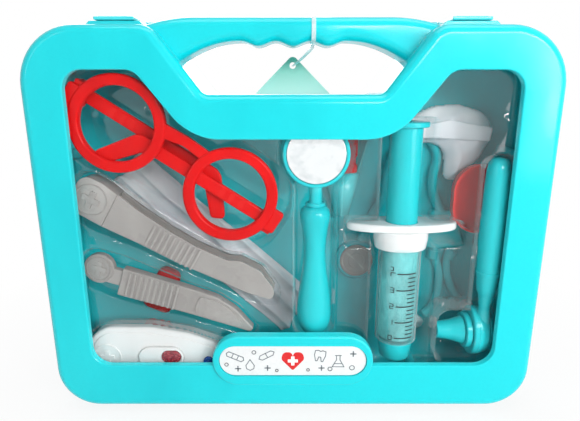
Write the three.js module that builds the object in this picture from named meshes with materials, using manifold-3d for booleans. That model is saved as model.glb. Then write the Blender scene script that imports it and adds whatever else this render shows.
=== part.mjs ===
// Toy doctor case: a hinged carrying case with a clear window, a clear moulded tray of
// pretend instruments behind it, and more of them loose behind the tray.
// Everything is drawn as seen from the front: X to the right, Y up, Z towards the viewer.
// The last group turns that view, so that Z is up and the front of the case faces -Y.
// All lengths are in millimetres.

import * as THREE from 'three';
import { mergeVertices } from 'three/addons/utils/BufferGeometryUtils.js';
import Module from 'manifold-3d';

const wasm = await Module();
wasm.setup();

// Driving sizes of the case
const caseWidth = 275;
const shoulderHeight = 213;
const footHeight = 3;
const coverDepth = 23;
const shellDepth = 30.7;
const plaqueRise = 2;
const seamGap = 0.3;
const wall = 2.2;
const edgeRound = 8;
const gap = 0.3;
const snug = 0.4;
const overrun = 3;
const weld = 1e-4;
const sliver = 0.05;

// How finely arcs are drawn, as an angle for each step
const fineArc = Math.PI / 10;
const coarseArc = Math.PI / 7;

// Planes across the depth of the case
const totalDepth = plaqueRise + coverDepth + seamGap + shellDepth;
const frontZ = totalDepth / 2 - plaqueRise;
const coverBackZ = frontZ - coverDepth;
const shellFrontZ = coverBackZ - seamGap;
const backZ = -totalDepth / 2;
const shellInnerZ = backZ + wall;
const bottomY = footHeight;
const topY = footHeight + shoulderHeight;

// The instruments have their full size in a case of full size, and shrink with a narrower or lower one
const fullWidth = 275;
const fullShoulderHeight = 213;
const toolShare = Math.min(caseWidth / fullWidth, shoulderHeight / fullShoulderHeight, 1);

// Colours and finishes
const plastic = (color, roughness = 0.35) =>
  new THREE.MeshStandardMaterial({ color, roughness, metalness: 0 });
const clear = (color, opacity) =>
  new THREE.MeshStandardMaterial({ color, roughness: 0.08, metalness: 0, transparent: true, opacity });
const turquoise = plastic(0x23d3da);
const paleTurquoise = plastic(0x5fe3e4);
const red = plastic(0xe8120c);
const grey = plastic(0xb9b3ae, 0.5);
const white = plastic(0xf4f3f1, 0.4);
const cloth = plastic(0xf1f0ee, 0.95);
const paper = plastic(0xffffff, 0.7);
const blue = plastic(0x2b5fa8);
const silver = plastic(0xdfe6e8, 0.1);
const clearPane = clear(0xf2fbfb, 0.15);
const clearTray = clear(0xe8f6f4, 0.3);
const clearBarrel = clear(0xdff6f4, 0.35);

// Solids from closed geometries, and geometries from solids
function solid(geometry) {
  const bare = geometry.clone();
  bare.deleteAttribute('normal');
  bare.deleteAttribute('uv');
  const merged = mergeVertices(bare, weld);
  const corners = merged.index.array;
  const kept = [];
  for (let i = 0; i < corners.length; i += 3) {
    const [a, b, c] = [corners[i], corners[i + 1], corners[i + 2]];
    if (a !== b && b !== c && c !== a) kept.push(a, b, c);
  }
  return new wasm.Manifold(new wasm.Mesh({
    numProp: 3,
    vertProperties: new Float32Array(merged.attributes.position.array),
    triVerts: new Uint32Array(kept),
  }));
}

function geometryOf(body) {
  const mesh = body.getMesh();
  const geometry = new THREE.BufferGeometry();
  geometry.setAttribute('position', new THREE.BufferAttribute(mesh.vertProperties, 3));
  geometry.setIndex(new THREE.BufferAttribute(mesh.triVerts, 1));
  geometry.computeVertexNormals();
  return geometry;
}

const join = (bodies) => bodies.reduce((sum, body) => sum.add(body));
const cut = (body, tools) => tools.reduce((rest, tool) => rest.subtract(tool), body);

function piece(group, name, body, material) {
  const mesh = new THREE.Mesh(geometryOf(body), material);
  mesh.name = name;
  group.add(mesh);
}

// Outlines are lists of corners {x, y, r}, counter-clockwise, each rounded by its own radius
const corner = (x, y, r = 0) => ({ x, y, r });

function turnAt(corners, i) {
  const before = corners[(i + corners.length - 1) % corners.length];
  const here = corners[i];
  const after = corners[(i + 1) % corners.length];
  const into = new THREE.Vector2(here.x - before.x, here.y - before.y);
  const out = new THREE.Vector2(after.x - here.x, after.y - here.y);
  const room = Math.min(into.length(), out.length()) / 2;
  into.normalize();
  out.normalize();
  return { into, out, room, angle: Math.atan2(into.cross(out), into.dot(out)) };
}

function inset(corners, by) {
  return corners.map((here, i) => {
    const { into, out, angle } = turnAt(corners, i);
    const slant = Math.tan(angle / 2);
    const x = here.x - by * into.y - by * slant * into.x;
    const y = here.y + by * into.x - by * slant * into.y;
    const r = here.r === 0 ? 0 : Math.max(here.r - by * Math.sign(angle), 0);
    return corner(x, y, r);
  });
}

function outline(corners, arcStep = coarseArc) {
  const points = corners.flatMap((here, i) => {
    if (here.r === 0) return [new THREE.Vector2(here.x, here.y)];
    const { into, room, angle } = turnAt(corners, i);
    const side = Math.sign(angle);
    const slant = Math.tan(Math.abs(angle) / 2);
    const r = Math.min(here.r, room / slant);
    const centreX = here.x - into.x * r * slant - into.y * r * side;
    const centreY = here.y - into.y * r * slant + into.x * r * side;
    const from = Math.atan2(-into.x * side, into.y * side);
    const steps = Math.max(1, Math.ceil(Math.abs(angle) / arcStep));
    return Array.from({ length: steps + 1 }, (_, step) => {
      const at = from + (angle * step) / steps;
      return new THREE.Vector2(centreX + r * Math.cos(at), centreY + r * Math.sin(at));
    });
  });
  return new THREE.Shape(points.filter((point, i) =>
    point.distanceTo(points[(i + points.length - 1) % points.length]) > sliver));
}

const box = (x0, x1, y0, y1, r = 0) =>
  [corner(x0, y0, r), corner(x1, y0, r), corner(x1, y1, r), corner(x0, y1, r)];

// Corners given as shares of a length and a width, each with its rounding as a share of the width
const fromShares = (shares, length, width) =>
  shares.map(([x, y, r]) => corner(x * length, y * width, r * width));

const mirrored = (corners) => corners.map(({ x, y, r }) => corner(-x, y, r)).reverse();

// A place on the case: where a thing's own origin lies and how far it is turned
function placed(place, corners) {
  const c = Math.cos(place.turn) * toolShare;
  const s = Math.sin(place.turn) * toolShare;
  return corners.map(({ x, y, r }) =>
    corner(place.x + c * x - s * y, place.y + s * x + c * y, r * toolShare));
}

function groupAt(place) {
  const group = new THREE.Group();
  group.position.set(place.x, place.y, 0);
  group.rotation.z = place.turn;
  group.scale.set(toolShare, toolShare, 1);
  contents.add(group);
  return group;
}

// A plate between two depths, with its rims rounded over if asked
function slab(shape, z0, z1, round = 0, roundSteps = 2, arcSteps = 8) {
  const geometry = new THREE.ExtrudeGeometry(shape, {
    depth: z1 - z0 - 2 * round,
    curveSegments: arcSteps,
    bevelEnabled: round > 0,
    bevelThickness: round,
    bevelSize: round,
    bevelOffset: -round,
    bevelSegments: roundSteps,
  });
  return solid(geometry.translate(0, 0, z0 + round));
}

const plate = (corners, z0, z1, round = 0, roundSteps = 2, arcStep = coarseArc) =>
  slab(outline(corners, arcStep), z0, z1, round, roundSteps);

// A round bar along X between two ends
function barX(radius, x0, x1, y, z, steps = 12) {
  const geometry = new THREE.CylinderGeometry(radius, radius, x1 - x0, steps);
  return solid(geometry.rotateZ(Math.PI / 2).translate((x0 + x1) / 2, y, z));
}

// A round bar along Y, and one along Z
function barY(radius, y0, y1, x, z, steps = 16) {
  const geometry = new THREE.CylinderGeometry(radius, radius, y1 - y0, steps);
  return solid(geometry.translate(x, (y0 + y1) / 2, z));
}

function barZ(radius, z0, z1, x, y, steps = 16) {
  const geometry = new THREE.CylinderGeometry(radius, radius, z1 - z0, steps);
  return solid(geometry.rotateX(Math.PI / 2).translate(x, y, (z0 + z1) / 2));
}

// A turned shape about the Y axis, from radius and height pairs, flattened in depth if asked
function turned(profile, steps = 16, depthShare = 1) {
  const points = profile.map(([radius, height]) => new THREE.Vector2(radius, height));
  return solid(new THREE.LatheGeometry(points, steps).scale(1, 1, depthShare));
}

const contents = new THREE.Group();
const shell = new THREE.Group();

// The outline that both halves of the case share, with its notch for the handle
const topCornerRound = 30;
const bottomCornerRound = 24;
const shoulderRound = 10;
const notchRound = 5;
const notchDepth = 33.5;
const notchTopWidth = 142;
const notchFloorWidth = 90.8;
const notchFloorY = topY - notchDepth;

const caseOutline = [
  corner(-caseWidth / 2, bottomY, bottomCornerRound),
  corner(caseWidth / 2, bottomY, bottomCornerRound),
  corner(caseWidth / 2, topY, topCornerRound),
  corner(notchTopWidth / 2, topY, shoulderRound),
  corner(notchFloorWidth / 2, notchFloorY, notchRound),
  corner(-notchFloorWidth / 2, notchFloorY, notchRound),
  corner(-notchTopWidth / 2, topY, shoulderRound),
  corner(-caseWidth / 2, topY, topCornerRound),
];

// The window in the cover, whose slopes run beside those of the notch
const windowSideBorder = 22.2;
const windowBottomBorder = 27.5;
const windowTopBorder = 21.6;
const windowNotchBorder = 22.5;
const windowTopCorner = 10;
const windowBottomCorner = 11;
const windowShoulderRound = 9;
const windowNotchRound = 28;
const windowSlopeTop = 79.5;
const windowSlopeFoot = 52.3;

const windowOutline = [
  corner(-caseWidth / 2 + windowSideBorder, bottomY + windowBottomBorder, windowBottomCorner),
  corner(caseWidth / 2 - windowSideBorder, bottomY + windowBottomBorder, windowBottomCorner),
  corner(caseWidth / 2 - windowSideBorder, topY - windowTopBorder, windowTopCorner),
  corner(windowSlopeTop, topY - windowTopBorder, windowShoulderRound),
  corner(windowSlopeFoot, notchFloorY - windowNotchBorder, windowNotchRound),
  corner(-windowSlopeFoot, notchFloorY - windowNotchBorder, windowNotchRound),
  corner(-windowSlopeTop, topY - windowTopBorder, windowShoulderRound),
  corner(-caseWidth / 2 + windowSideBorder, topY - windowTopBorder, windowTopCorner),
];

// The carrying handle, half on each shell, with three bumps between the fingers below it
const handleTopRise = 5;
const handleFrontStep = 12;
const handleBackZ = -9;
const handleHalfWidth = 80;
const handleFlatHalf = 50;
const handleEndDrop = 3.4;
const handleEndRun = 24.5;
const gripRise = 25.6;
const gripBump = 1.25;
const gripPitch = 18.3;
const archDrop = 7.4;
const archRun = 27;
const handleRound = 5;
const handleHollowHalf = 56;
const handleArchHalf = 64;
const handleSteps = 30;
const handleEndSteps = 3;
const handleFrontZ = frontZ - handleFrontStep;

function handleTop(x) {
  const past = Math.max(Math.abs(x) - handleFlatHalf, 0) / handleEndRun;
  return topY + handleTopRise - handleEndDrop * past ** 2;
}

function handleUnderside(x) {
  const gripHalf = 1.5 * gripPitch;
  const level = notchFloorY + gripRise;
  const past = Math.max(Math.abs(x) - gripHalf, 0) / archRun;
  if (past > 0) return level + gripBump - archDrop * past ** 2;
  return level - gripBump * Math.cos((2 * Math.PI * x) / gripPitch);
}

function handleOutline(halfWidth, margin, steps) {
  const reach = Math.min(halfWidth, handleArchHalf);
  const points = Array.from({ length: steps + 1 }, (_, i) => {
    const x = reach * ((2 * i) / steps - 1);
    return new THREE.Vector2(x, handleUnderside(x) + margin);
  });
  if (halfWidth > reach) {
    points.unshift(new THREE.Vector2(-halfWidth, handleUnderside(reach)));
    points.push(new THREE.Vector2(halfWidth, handleUnderside(reach)));
  }
  const ends = Array.from({ length: handleEndSteps + 1 }, (_, i) =>
    halfWidth + ((handleFlatHalf - halfWidth) * i) / handleEndSteps);
  ends.forEach((x) => points.push(new THREE.Vector2(x, handleTop(x) - margin)));
  ends.reverse().forEach((x) => points.push(new THREE.Vector2(-x, handleTop(x) - margin)));
  return new THREE.Shape(points);
}

const handleBar = slab(handleOutline(handleHalfWidth, 0, handleSteps), handleBackZ, handleFrontZ, handleRound);
const handleHollow = slab(handleOutline(handleHollowHalf, 1.6 * wall, handleSteps / 3),
  handleBackZ + wall, handleFrontZ - wall);

// The whole case as one block, its hollow, and the halves of space that the parting line makes
const caseBlock = plate(caseOutline, backZ, frontZ, edgeRound, 2, fineArc);
const caseHollow = plate(inset(caseOutline, wall), shellInnerZ, frontZ - wall, edgeRound - wall, 1, fineArc);
const around = box(-caseWidth, caseWidth, -shoulderHeight, 2 * shoulderHeight);
const frontHalf = plate(around, coverBackZ, frontZ + totalDepth);
const rearHalf = plate(around, backZ - totalDepth, shellFrontZ);

// Hinges along the bottom edge: three knuckles each, the middle one on the rear shell
const hingeAcrossShare = 0.309;
const hingeAcross = caseWidth * hingeAcrossShare;
const hingeRadius = 2.8;
const hingePinRadius = 1.2;
const hingeKnuckle = 8;
const hingeAxisY = hingeRadius;
const hingeAxisZ = (coverBackZ + shellFrontZ) / 2;
const hingeSides = [-1, 1];

const knuckle = (middle, radius, spare = 0) =>
  barX(radius, middle - hingeKnuckle / 2 - spare, middle + hingeKnuckle / 2 + spare, hingeAxisY, hingeAxisZ);
const outerKnuckles = (side) => [-1, 1].map((step) => side * hingeAcross + step * (hingeKnuckle + snug));
const coverKnuckles = hingeSides.flatMap(outerKnuckles);
const shellKnuckles = hingeSides.map((side) => side * hingeAcross);
const hingePinHalf = 1.5 * hingeKnuckle + snug;
const hingeBores = hingeSides.map((side) => barX(
  hingePinRadius + gap, side * hingeAcross - hingePinHalf - overrun,
  side * hingeAcross + hingePinHalf + overrun, hingeAxisY, hingeAxisZ));

// Feet under both halves
const footFromRound = 1.5;
const footAcross = caseWidth / 2 - bottomCornerRound - footFromRound;
const footLength = 16;
const footDepth = 5;
const footBehindFront = 11.5;
const footBeforeBack = 2;
const foot = (side, z0) => plate(
  box(side * footAcross - footLength / 2, side * footAcross + footLength / 2, 0, bottomY + wall / 2),
  z0, z0 + footDepth);

// Catches on the cover and pivot lugs on the rear shell for the two latches
const latchAcross = (notchTopWidth / 2 + caseWidth / 2 - topCornerRound) / 2;
const latchWidth = 20;
const latchPlate = 1.6;
const bossWidth = 30;
const bossRise = 2.2;
const bossSlope = 2.5;
const bossDepth = 15;
const catchGroove = 3.4;
const catchFromSeam = 9.8;
const latchBarrel = 2.2;
const latchPinRadius = 1;
const latchPivotBack = 10;
const lugThick = 3;
const hookThick = 2;
const hookDrop = 1.7;
const tabLength = 3;
const latchPivotZ = shellFrontZ - latchPivotBack;
const latchPivotY = topY + latchBarrel + snug;
const bossTopY = topY + bossRise;
const grooveZ0 = coverBackZ + catchFromSeam;
const lugInner = latchWidth / 2 + snug;
const lugOuter = lugInner + lugThick;

function latchBoss(side) {
  const middle = side * latchAcross;
  const body = plate([
    corner(middle - bossWidth / 2, topY - wall),
    corner(middle + bossWidth / 2, topY - wall),
    corner(middle + bossWidth / 2, topY),
    corner(middle + bossWidth / 2 - bossSlope, bossTopY),
    corner(middle - bossWidth / 2 + bossSlope, bossTopY),
    corner(middle - bossWidth / 2, topY),
  ], coverBackZ, coverBackZ + bossDepth);
  const half = latchWidth / 2 + snug;
  const groove = plate(box(middle - half, middle + half, topY + gap, topY + latchPlate + overrun),
    grooveZ0, grooveZ0 + catchGroove);
  return body.subtract(groove);
}

function latchLugs(side) {
  return [-1, 1].map((end) => {
    const from = side * latchAcross + end * lugInner;
    const to = side * latchAcross + end * lugOuter;
    const [x0, x1] = [Math.min(from, to), Math.max(from, to)];
    const round = barX(latchBarrel, x0, x1, latchPivotY, latchPivotZ, 12);
    const stem = plate(box(x0, x1, topY - wall / 2, latchPivotY),
      latchPivotZ - latchBarrel, latchPivotZ + latchBarrel);
    return round.add(stem);
  });
}

const latchBores = hingeSides.map((side) => barX(
  latchPinRadius + gap, side * latchAcross - lugOuter - overrun,
  side * latchAcross + lugOuter + overrun, latchPivotY, latchPivotZ, 12));

function makeLatch(side, label) {
  const middle = side * latchAcross;
  const [x0, x1] = [middle - latchWidth / 2, middle + latchWidth / 2];
  const plateY = bossTopY + gap;
  const hookZ0 = grooveZ0 + (catchGroove - hookThick) / 2;
  const tabZ = hookZ0 + hookThick + tabLength;
  const arm = plate(box(x0, x1, plateY, plateY + latchPlate), latchPivotZ, tabZ);
  const hook = plate(box(x0, x1, plateY - hookDrop, plateY + latchPlate / 2), hookZ0, hookZ0 + hookThick);
  const barrel = barX(latchBarrel, x0, x1, latchPivotY, latchPivotZ, 12);
  const bore = latchBores[hingeSides.indexOf(side)];
  piece(shell, `latch_${label}`, join([arm, hook, barrel]).subtract(bore), turquoise);
  const pin = barX(latchPinRadius, middle - lugOuter, middle + lugOuter, latchPivotY, latchPivotZ, 12);
  piece(shell, `latch_pin_${label}`, pin, silver);
}

// The plaque on the cover, with a recess for its printed label
const plaqueLength = 92;
const plaqueHeight = 31;
const plaqueMiddleY = 34.4;
const labelLength = 84;
const labelHeight = 18.6;
const labelThick = 0.4;
const labelRecess = 1.3;
const plaqueFrontZ = frontZ + plaqueRise;
const labelFloorZ = plaqueFrontZ - labelRecess - labelThick;
const stadium = (length, height, y) =>
  box(-length / 2, length / 2, y - height / 2, y + height / 2, height / 2);
const plaqueOutline = stadium(plaqueLength, plaqueHeight, plaqueMiddleY);
const labelOutline = stadium(labelLength, labelHeight, plaqueMiddleY);

// The window pane, held behind the lip of the window on pegs
const lipWall = 1.8;
const lipDepth = 3.7;
const paneThick = 1;
const paneMargin = 7.5;
const pegRadius = 1.3;
const pegInset = 4.8;
const lipBackZ = frontZ - lipDepth;
const paneFrontZ = lipBackZ - gap;
const paneBackZ = paneFrontZ - paneThick;
const pegSideShares = [0.32, 0.7];
const pegBottomShares = [0.6, -0.6];

function pegPlaces() {
  const ring = inset(windowOutline, -pegInset);
  const [left, right] = [ring[0], ring[2]];
  const sides = pegSideShares.flatMap((share) => {
    const y = left.y + (right.y - left.y) * share;
    return [[left.x, y], [right.x, y]];
  });
  const below = pegBottomShares.map((share) => [share * right.x, left.y]);
  return [...sides, ...below, [0, ring[4].y]];
}

function makeCover() {
  const lip = plate(inset(windowOutline, -lipWall), lipBackZ, frontZ - wall / 2);
  const opening = plate(windowOutline, lipBackZ - overrun, frontZ + overrun, 0, 0, fineArc);
  const pegs = pegPlaces().map(([x, y]) => barZ(pegRadius, paneBackZ - gap, frontZ - wall / 2, x, y, 8));
  const frame = join([
    caseBlock.add(handleBar).intersect(frontHalf).subtract(caseHollow).subtract(handleHollow),
    lip, ...pegs,
  ]).subtract(opening);
  const plaque = plate(plaqueOutline, paneFrontZ + gap, plaqueFrontZ, plaqueRise / 2, 2, fineArc);
  const recess = plate(inset(labelOutline, -gap), labelFloorZ, plaqueFrontZ + overrun, 0, 0, fineArc);
  const added = join([
    frame, plaque,
    ...hingeSides.map(latchBoss),
    ...hingeSides.map((side) => foot(side, frontZ - footBehindFront - footDepth)),
    ...coverKnuckles.map((middle) => knuckle(middle, hingeRadius)),
  ]);
  const clearances = shellKnuckles.map((middle) => knuckle(middle, hingeRadius + snug, snug / 2));
  piece(shell, 'front_cover', cut(added, [recess, ...clearances, ...hingeBores]), turquoise);
  const label = plate(labelOutline, labelFloorZ + gap, labelFloorZ + gap + labelThick, 0, 0, fineArc);
  piece(shell, 'plaque_label', label, paper);
  const holes = pegPlaces().map(([x, y]) =>
    barZ(pegRadius + gap, paneBackZ - overrun, paneFrontZ + overrun, x, y, 8));
  piece(shell, 'window_pane', cut(plate(inset(windowOutline, -paneMargin), paneBackZ, paneFrontZ), holes), clearPane);
}

// The rear shell, with posts that carry the tray's flange
const postRadius = 3.2;
const postInset = 9;
const flangeBehindSeam = 1.5;
const trayWall = 0.8;
const flangeBackZ = shellFrontZ - flangeBehindSeam - trayWall;

function postPlaces() {
  const ring = inset(caseOutline, postInset);
  const [low, high] = [ring[0].y, ring[2].y];
  const side = ring[2].x;
  const sides = [-1, 1].flatMap((sign) => pegSideShares.map((share) => [sign * side, low + (high - low) * share]));
  const ends = [-1, 1].flatMap((sign) => [[sign * latchAcross, high], [sign * side * pegBottomShares[0], low]]);
  return [...sides, ...ends, [0, ring[4].y]];
}

function makeRearShell() {
  const half = caseBlock.add(handleBar).intersect(rearHalf).subtract(caseHollow).subtract(handleHollow);
  const posts = postPlaces().map(([x, y]) => barZ(postRadius, backZ + wall / 2, flangeBackZ - gap, x, y, 10));
  const body = join([
    half, ...posts,
    ...hingeSides.flatMap(latchLugs),
    ...hingeSides.map((side) => foot(side, backZ + footBeforeBack)),
    ...shellKnuckles.map((middle) => knuckle(middle, hingeRadius)),
  ]);
  const clearances = coverKnuckles.map((middle) => knuckle(middle, hingeRadius + snug, snug / 2));
  piece(shell, 'rear_shell', cut(body, [...clearances, ...hingeBores, ...latchBores]), turquoise);
}

function makeHingePins() {
  hingeSides.forEach((side) => {
    const middle = side * hingeAcross;
    const pin = barX(hingePinRadius, middle - hingePinHalf, middle + hingePinHalf, hingeAxisY, hingeAxisZ, 12);
    piece(shell, side < 0 ? 'hinge_pin_left' : 'hinge_pin_right', pin, silver);
  });
}

// The front of the tray, and how far forward the instruments in it may come
const landBehindPane = 1;
const landFrontZ = paneBackZ - landBehindPane;
const toolFrontZ = landFrontZ + trayWall / 2;

// Places of the instruments, as shares of the width and the height of the case
const placeAt = ([across, up], turn = 0) => ({ x: across * caseWidth, y: bottomY + up * shoulderHeight, turn });
const radians = (degrees) => (degrees * Math.PI) / 180;
const mirrorPlaceShares = [0.0458, 0.696];
const mirrorPlace = placeAt(mirrorPlaceShares);

// A plus sign that stands out of a face, and a row of raised grip ribs
const plusArmShare = 0.34;
function plusSign(x, y, reach, z0, z1) {
  const arm = reach * plusArmShare;
  const across = plate(box(x - reach, x + reach, y - arm, y + arm), z0, z1);
  return across.add(plate(box(x - arm, x + arm, y - reach, y + reach), z0, z1));
}

function ribs(count, from, pitch, thick, y0, y1, z0, z1) {
  return Array.from({ length: count }, (_, i) =>
    plate(box(from + i * pitch, from + i * pitch + thick, y0, y1), z0, z1));
}

// Glasses: a frame with two empty rims, and two temples folded behind it
const glassesPlaceShares = [-0.229, 0.6836];
const glassesTurn = -33;
const rimSpacing = 69.4;
const rimRadius = 25.7;
const rimWide = 6.1;
const frameThick = 4.4;
const bridgeHalf = 16;
const bridgeLow = 8.8;
const bridgeHigh = 13.4;
const hingeBlockLong = 10;
const hingeBlockHigh = 13;
const templeThick = 3.4;
const templeHigh = 7.4;
const templeLength = 84;
const templeTipDrop = 22;
const templeTipReach = 16;
const templeLayerGap = 2.1;
const templeRise = 2.2;
const glassesFloorDepth = 5;
const templePinRadius = 0.9;
const templeEyeHigh = 5;
const glassesPlace = placeAt(glassesPlaceShares, radians(glassesTurn));
const frameBackZ = toolFrontZ - frameThick;
const glassesHalf = rimSpacing / 2 + rimRadius + hingeBlockLong / 2;
const templePivotX = glassesHalf - hingeBlockLong / 2;
const rightTempleZ1 = frameBackZ - 2 * gap;
const leftTempleZ1 = rightTempleZ1 - templeThick - templeLayerGap;
const glassesFloorZ = leftTempleZ1 - templeThick - glassesFloorDepth;

function templeOutline() {
  const end = templePivotX - templeLength;
  return [
    corner(templePivotX + templeHigh / 2, -templeHigh / 2, templeHigh / 3),
    corner(templePivotX + templeHigh / 2, templeHigh / 2, templeHigh / 3),
    corner(end, templeHigh / 2, templeHigh),
    corner(end - templeTipReach, templeHigh / 2 - templeTipDrop, templeHigh / 3),
    corner(end - templeTipReach + templeHigh, -templeTipDrop, templeHigh / 3),
    corner(end + templeHigh, -templeHigh / 2, templeHigh),
  ];
}

function makeGlasses() {
  const group = groupAt(glassesPlace);
  const rims = [-1, 1].map((side) => turned([
    [0, frameBackZ], [rimRadius, frameBackZ], [rimRadius, toolFrontZ - frameThick / 4],
    [rimRadius - frameThick / 3, toolFrontZ], [0, toolFrontZ],
  ], 28).rotate([90, 0, 0]).scale([1, -1, 1]).translate([side * rimSpacing / 2, 0, 0]));
  const lenses = [-1, 1].map((side) =>
    barZ(rimRadius - rimWide, frameBackZ - overrun, toolFrontZ + overrun, side * rimSpacing / 2, 0, 28));
  const bridge = plate(box(-bridgeHalf, bridgeHalf, bridgeLow, bridgeHigh), frameBackZ, toolFrontZ - frameThick / 4);
  const blocks = [-1, 1].map((side) => {
    const middle = side * templePivotX;
    return plate(box(middle - hingeBlockLong / 2, middle + hingeBlockLong / 2, -hingeBlockHigh / 2,
      hingeBlockHigh / 2, frameThick / 4), frameBackZ, toolFrontZ - frameThick / 4);
  });
  const eyes = [[1, rightTempleZ1], [-1, leftTempleZ1]].map(([side, z1]) => {
    const middle = side * templePivotX;
    const low = templeHigh / 2 + gap + side * -templeRise;
    return join([low, -low - templeEyeHigh / 2 - side * templeRise * 2].map((y) =>
      plate(box(middle - templeHigh / 2, middle + templeHigh / 2, y, y + templeEyeHigh / 2),
        z1 - templeThick, frameBackZ + weld)));
  });
  const pinAt = (side, z1, radius, spare) => barY(radius,
    -templeHigh / 2 - gap - templeEyeHigh / 2 - spare - side * templeRise,
    templeHigh / 2 + gap + templeEyeHigh / 2 + spare - side * templeRise,
    side * templePivotX, z1 - templeThick / 2, 8);
  const bores = [pinAt(1, rightTempleZ1, templePinRadius + gap, overrun),
    pinAt(-1, leftTempleZ1, templePinRadius + gap, overrun)];
  const frame = cut(join([...rims, bridge, ...blocks, ...eyes]), [...lenses, ...bores]);
  piece(group, 'glasses_frame', frame, red);
  const arm = (side, z1) => {
    const corners = side > 0 ? templeOutline() : mirrored(templeOutline());
    const shifted = corners.map(({ x, y, r }) => corner(x, y - side * templeRise, r));
    return plate(shifted, z1 - templeThick, z1).subtract(bores[side > 0 ? 0 : 1]);
  };
  piece(group, 'glasses_temple_right', arm(1, rightTempleZ1), red);
  piece(group, 'glasses_temple_left', arm(-1, leftTempleZ1), red);
  piece(group, 'glasses_pin_right', pinAt(1, rightTempleZ1, templePinRadius, 0), silver);
  piece(group, 'glasses_pin_left', pinAt(-1, leftTempleZ1, templePinRadius, 0), silver);
}

const glassesPocket = placed(glassesPlace, box(
  -glassesHalf - snug, glassesHalf + snug, -rimRadius - snug, rimRadius + snug, rimRadius - frameThick));

// Tweezers: a round heel and two springy arms, one behind the other
const tweezersPlaceShares = [-0.398, 0.571];
const tweezersTurn = -30.3;
const tweezersToMirror = 24.04;
const tweezersHeel = 11.4;
const tweezersHeelUp = 2.2;
const tweezersBreadth = 26;
const tweezersArmThick = 2.8;
const tweezersSpread = 12.4;
const plusReach = 4.2;
const reliefRise = 0.5;
const ribPitch = 3.1;
const ribThick = 1.5;
const ribCount = 9;
const ribStart = 36;
const ribLow = -6;
const ribHigh = 6.8;
const tweezersPlace = placeAt(tweezersPlaceShares, radians(tweezersTurn));
const tweezersLength = (mirrorPlace.x - tweezersPlace.x - tweezersToMirror * toolShare)
  / Math.cos(tweezersPlace.turn) / toolShare;
const tweezersFrontZ = toolFrontZ - reliefRise;
const tweezersBackZ = tweezersFrontZ - tweezersSpread;
const tweezersArmStart = 9.8;
const tweezersArmShares = [
  [0.089, -0.33, 0], [0.273, -0.277, 0.6], [0.493, -0.246, 1], [0.714, -0.15, 0.6], [0.859, -0.104, 0.4],
  [0.99, 0.02, 0.1], [0.982, 0.25, 0.3], [0.868, 0.488, 0.3], [0.753, 0.469, 0.15], [0.696, 0.342, 0.2],
  [0.537, 0.277, 0.8], [0.388, 0.292, 0.6], [0.194, 0.377, 0.6], [0.089, 0.454, 0],
];

function makeTweezers() {
  const group = groupAt(tweezersPlace);
  const heelPlate = barZ(tweezersHeel, tweezersBackZ, tweezersFrontZ, 0, tweezersHeelUp, 24);
  const armSide = plate(box(tweezersArmStart, 2 * tweezersHeel, -tweezersHeel, 2 * tweezersHeel),
    tweezersBackZ - overrun, tweezersFrontZ + overrun);
  const emblem = plusSign(0, 0, plusReach, tweezersFrontZ - reliefRise, toolFrontZ);
  piece(group, 'tweezers_heel', heelPlate.add(emblem).subtract(armSide), grey);
  const corners = fromShares(tweezersArmShares, tweezersLength, tweezersBreadth);
  const front = plate(corners, tweezersFrontZ - tweezersArmThick, tweezersFrontZ);
  const grip = ribs(ribCount, ribStart, ribPitch, ribThick, ribLow, ribHigh,
    tweezersFrontZ - reliefRise, toolFrontZ);
  piece(group, 'tweezers_arm_front', join([front, ...grip]), grey);
  piece(group, 'tweezers_arm_back', plate(corners, tweezersBackZ, tweezersBackZ + tweezersArmThick), grey);
}

const tweezersPocketShares = [
  [-0.12, -0.4, 0.4], [0.06, -0.42, 0.4], [0.273, -0.31, 1], [0.714, -0.19, 1], [0.9, -0.14, 0.4],
  [1.01, 0, 0.1], [1, 0.27, 0.3], [0.875, 0.53, 0.3], [0.745, 0.51, 0.2], [0.68, 0.38, 0.2],
  [0.388, 0.34, 0.6], [0.194, 0.45, 0.6], [0.06, 0.56, 0.4], [-0.12, 0.56, 0.4],
];
const tweezersPocket = placed(tweezersPlace,
  fromShares(tweezersPocketShares, tweezersLength, tweezersBreadth));

// Scalpel: a round end with a raised plus, a stepped grip with ribs, and a blunt blade
const scalpelPlaceShares = [-0.397, 0.3953];
const scalpelTurn = -17;
const scalpelLength = 93.5;
const scalpelBreadth = 19;
const scalpelDisc = 8.6;
const scalpelThick = 7;
const scalpelDiscThick = 4.4;
const scalpelNeckHigh = 7;
const scalpelRibStart = 20;
const scalpelRibLow = -11.4;
const scalpelRibHigh = 3;
const scalpelPlace = placeAt(scalpelPlaceShares, radians(scalpelTurn));
const scalpelShares = [
  [0.14, -0.64, 0.05], [0.6, -0.61, 1], [0.985, -0.65, 0.1], [1, -0.52, 0.06], [0.86, -0.06, 0.8],
  [0.73, 0.15, 0.8], [0.55, 0.19, 1], [0.14, 0.23, 0.05],
];

function makeScalpel() {
  const group = groupAt(scalpelPlace);
  const z1 = toolFrontZ - reliefRise;
  const grip = plate(fromShares(scalpelShares, scalpelLength, scalpelBreadth), z1 - scalpelThick, z1);
  const discZ = z1 - (scalpelThick - scalpelDiscThick) / 2;
  const round = barZ(scalpelDisc, discZ - scalpelDiscThick, discZ, 0, 0, 24);
  const neck = plate(box(0, scalpelLength * 0.15, -scalpelNeckHigh, scalpelNeckHigh / 3),
    discZ - scalpelDiscThick, discZ - reliefRise);
  const emblem = plusSign(0, 0, plusReach, discZ - reliefRise, discZ + reliefRise);
  const grooves = ribs(ribCount, scalpelRibStart, ribPitch, ribThick, scalpelRibLow, scalpelRibHigh,
    z1 - reliefRise, toolFrontZ);
  piece(group, 'scalpel', join([grip, round, neck, emblem, ...grooves]), grey);
}

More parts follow.
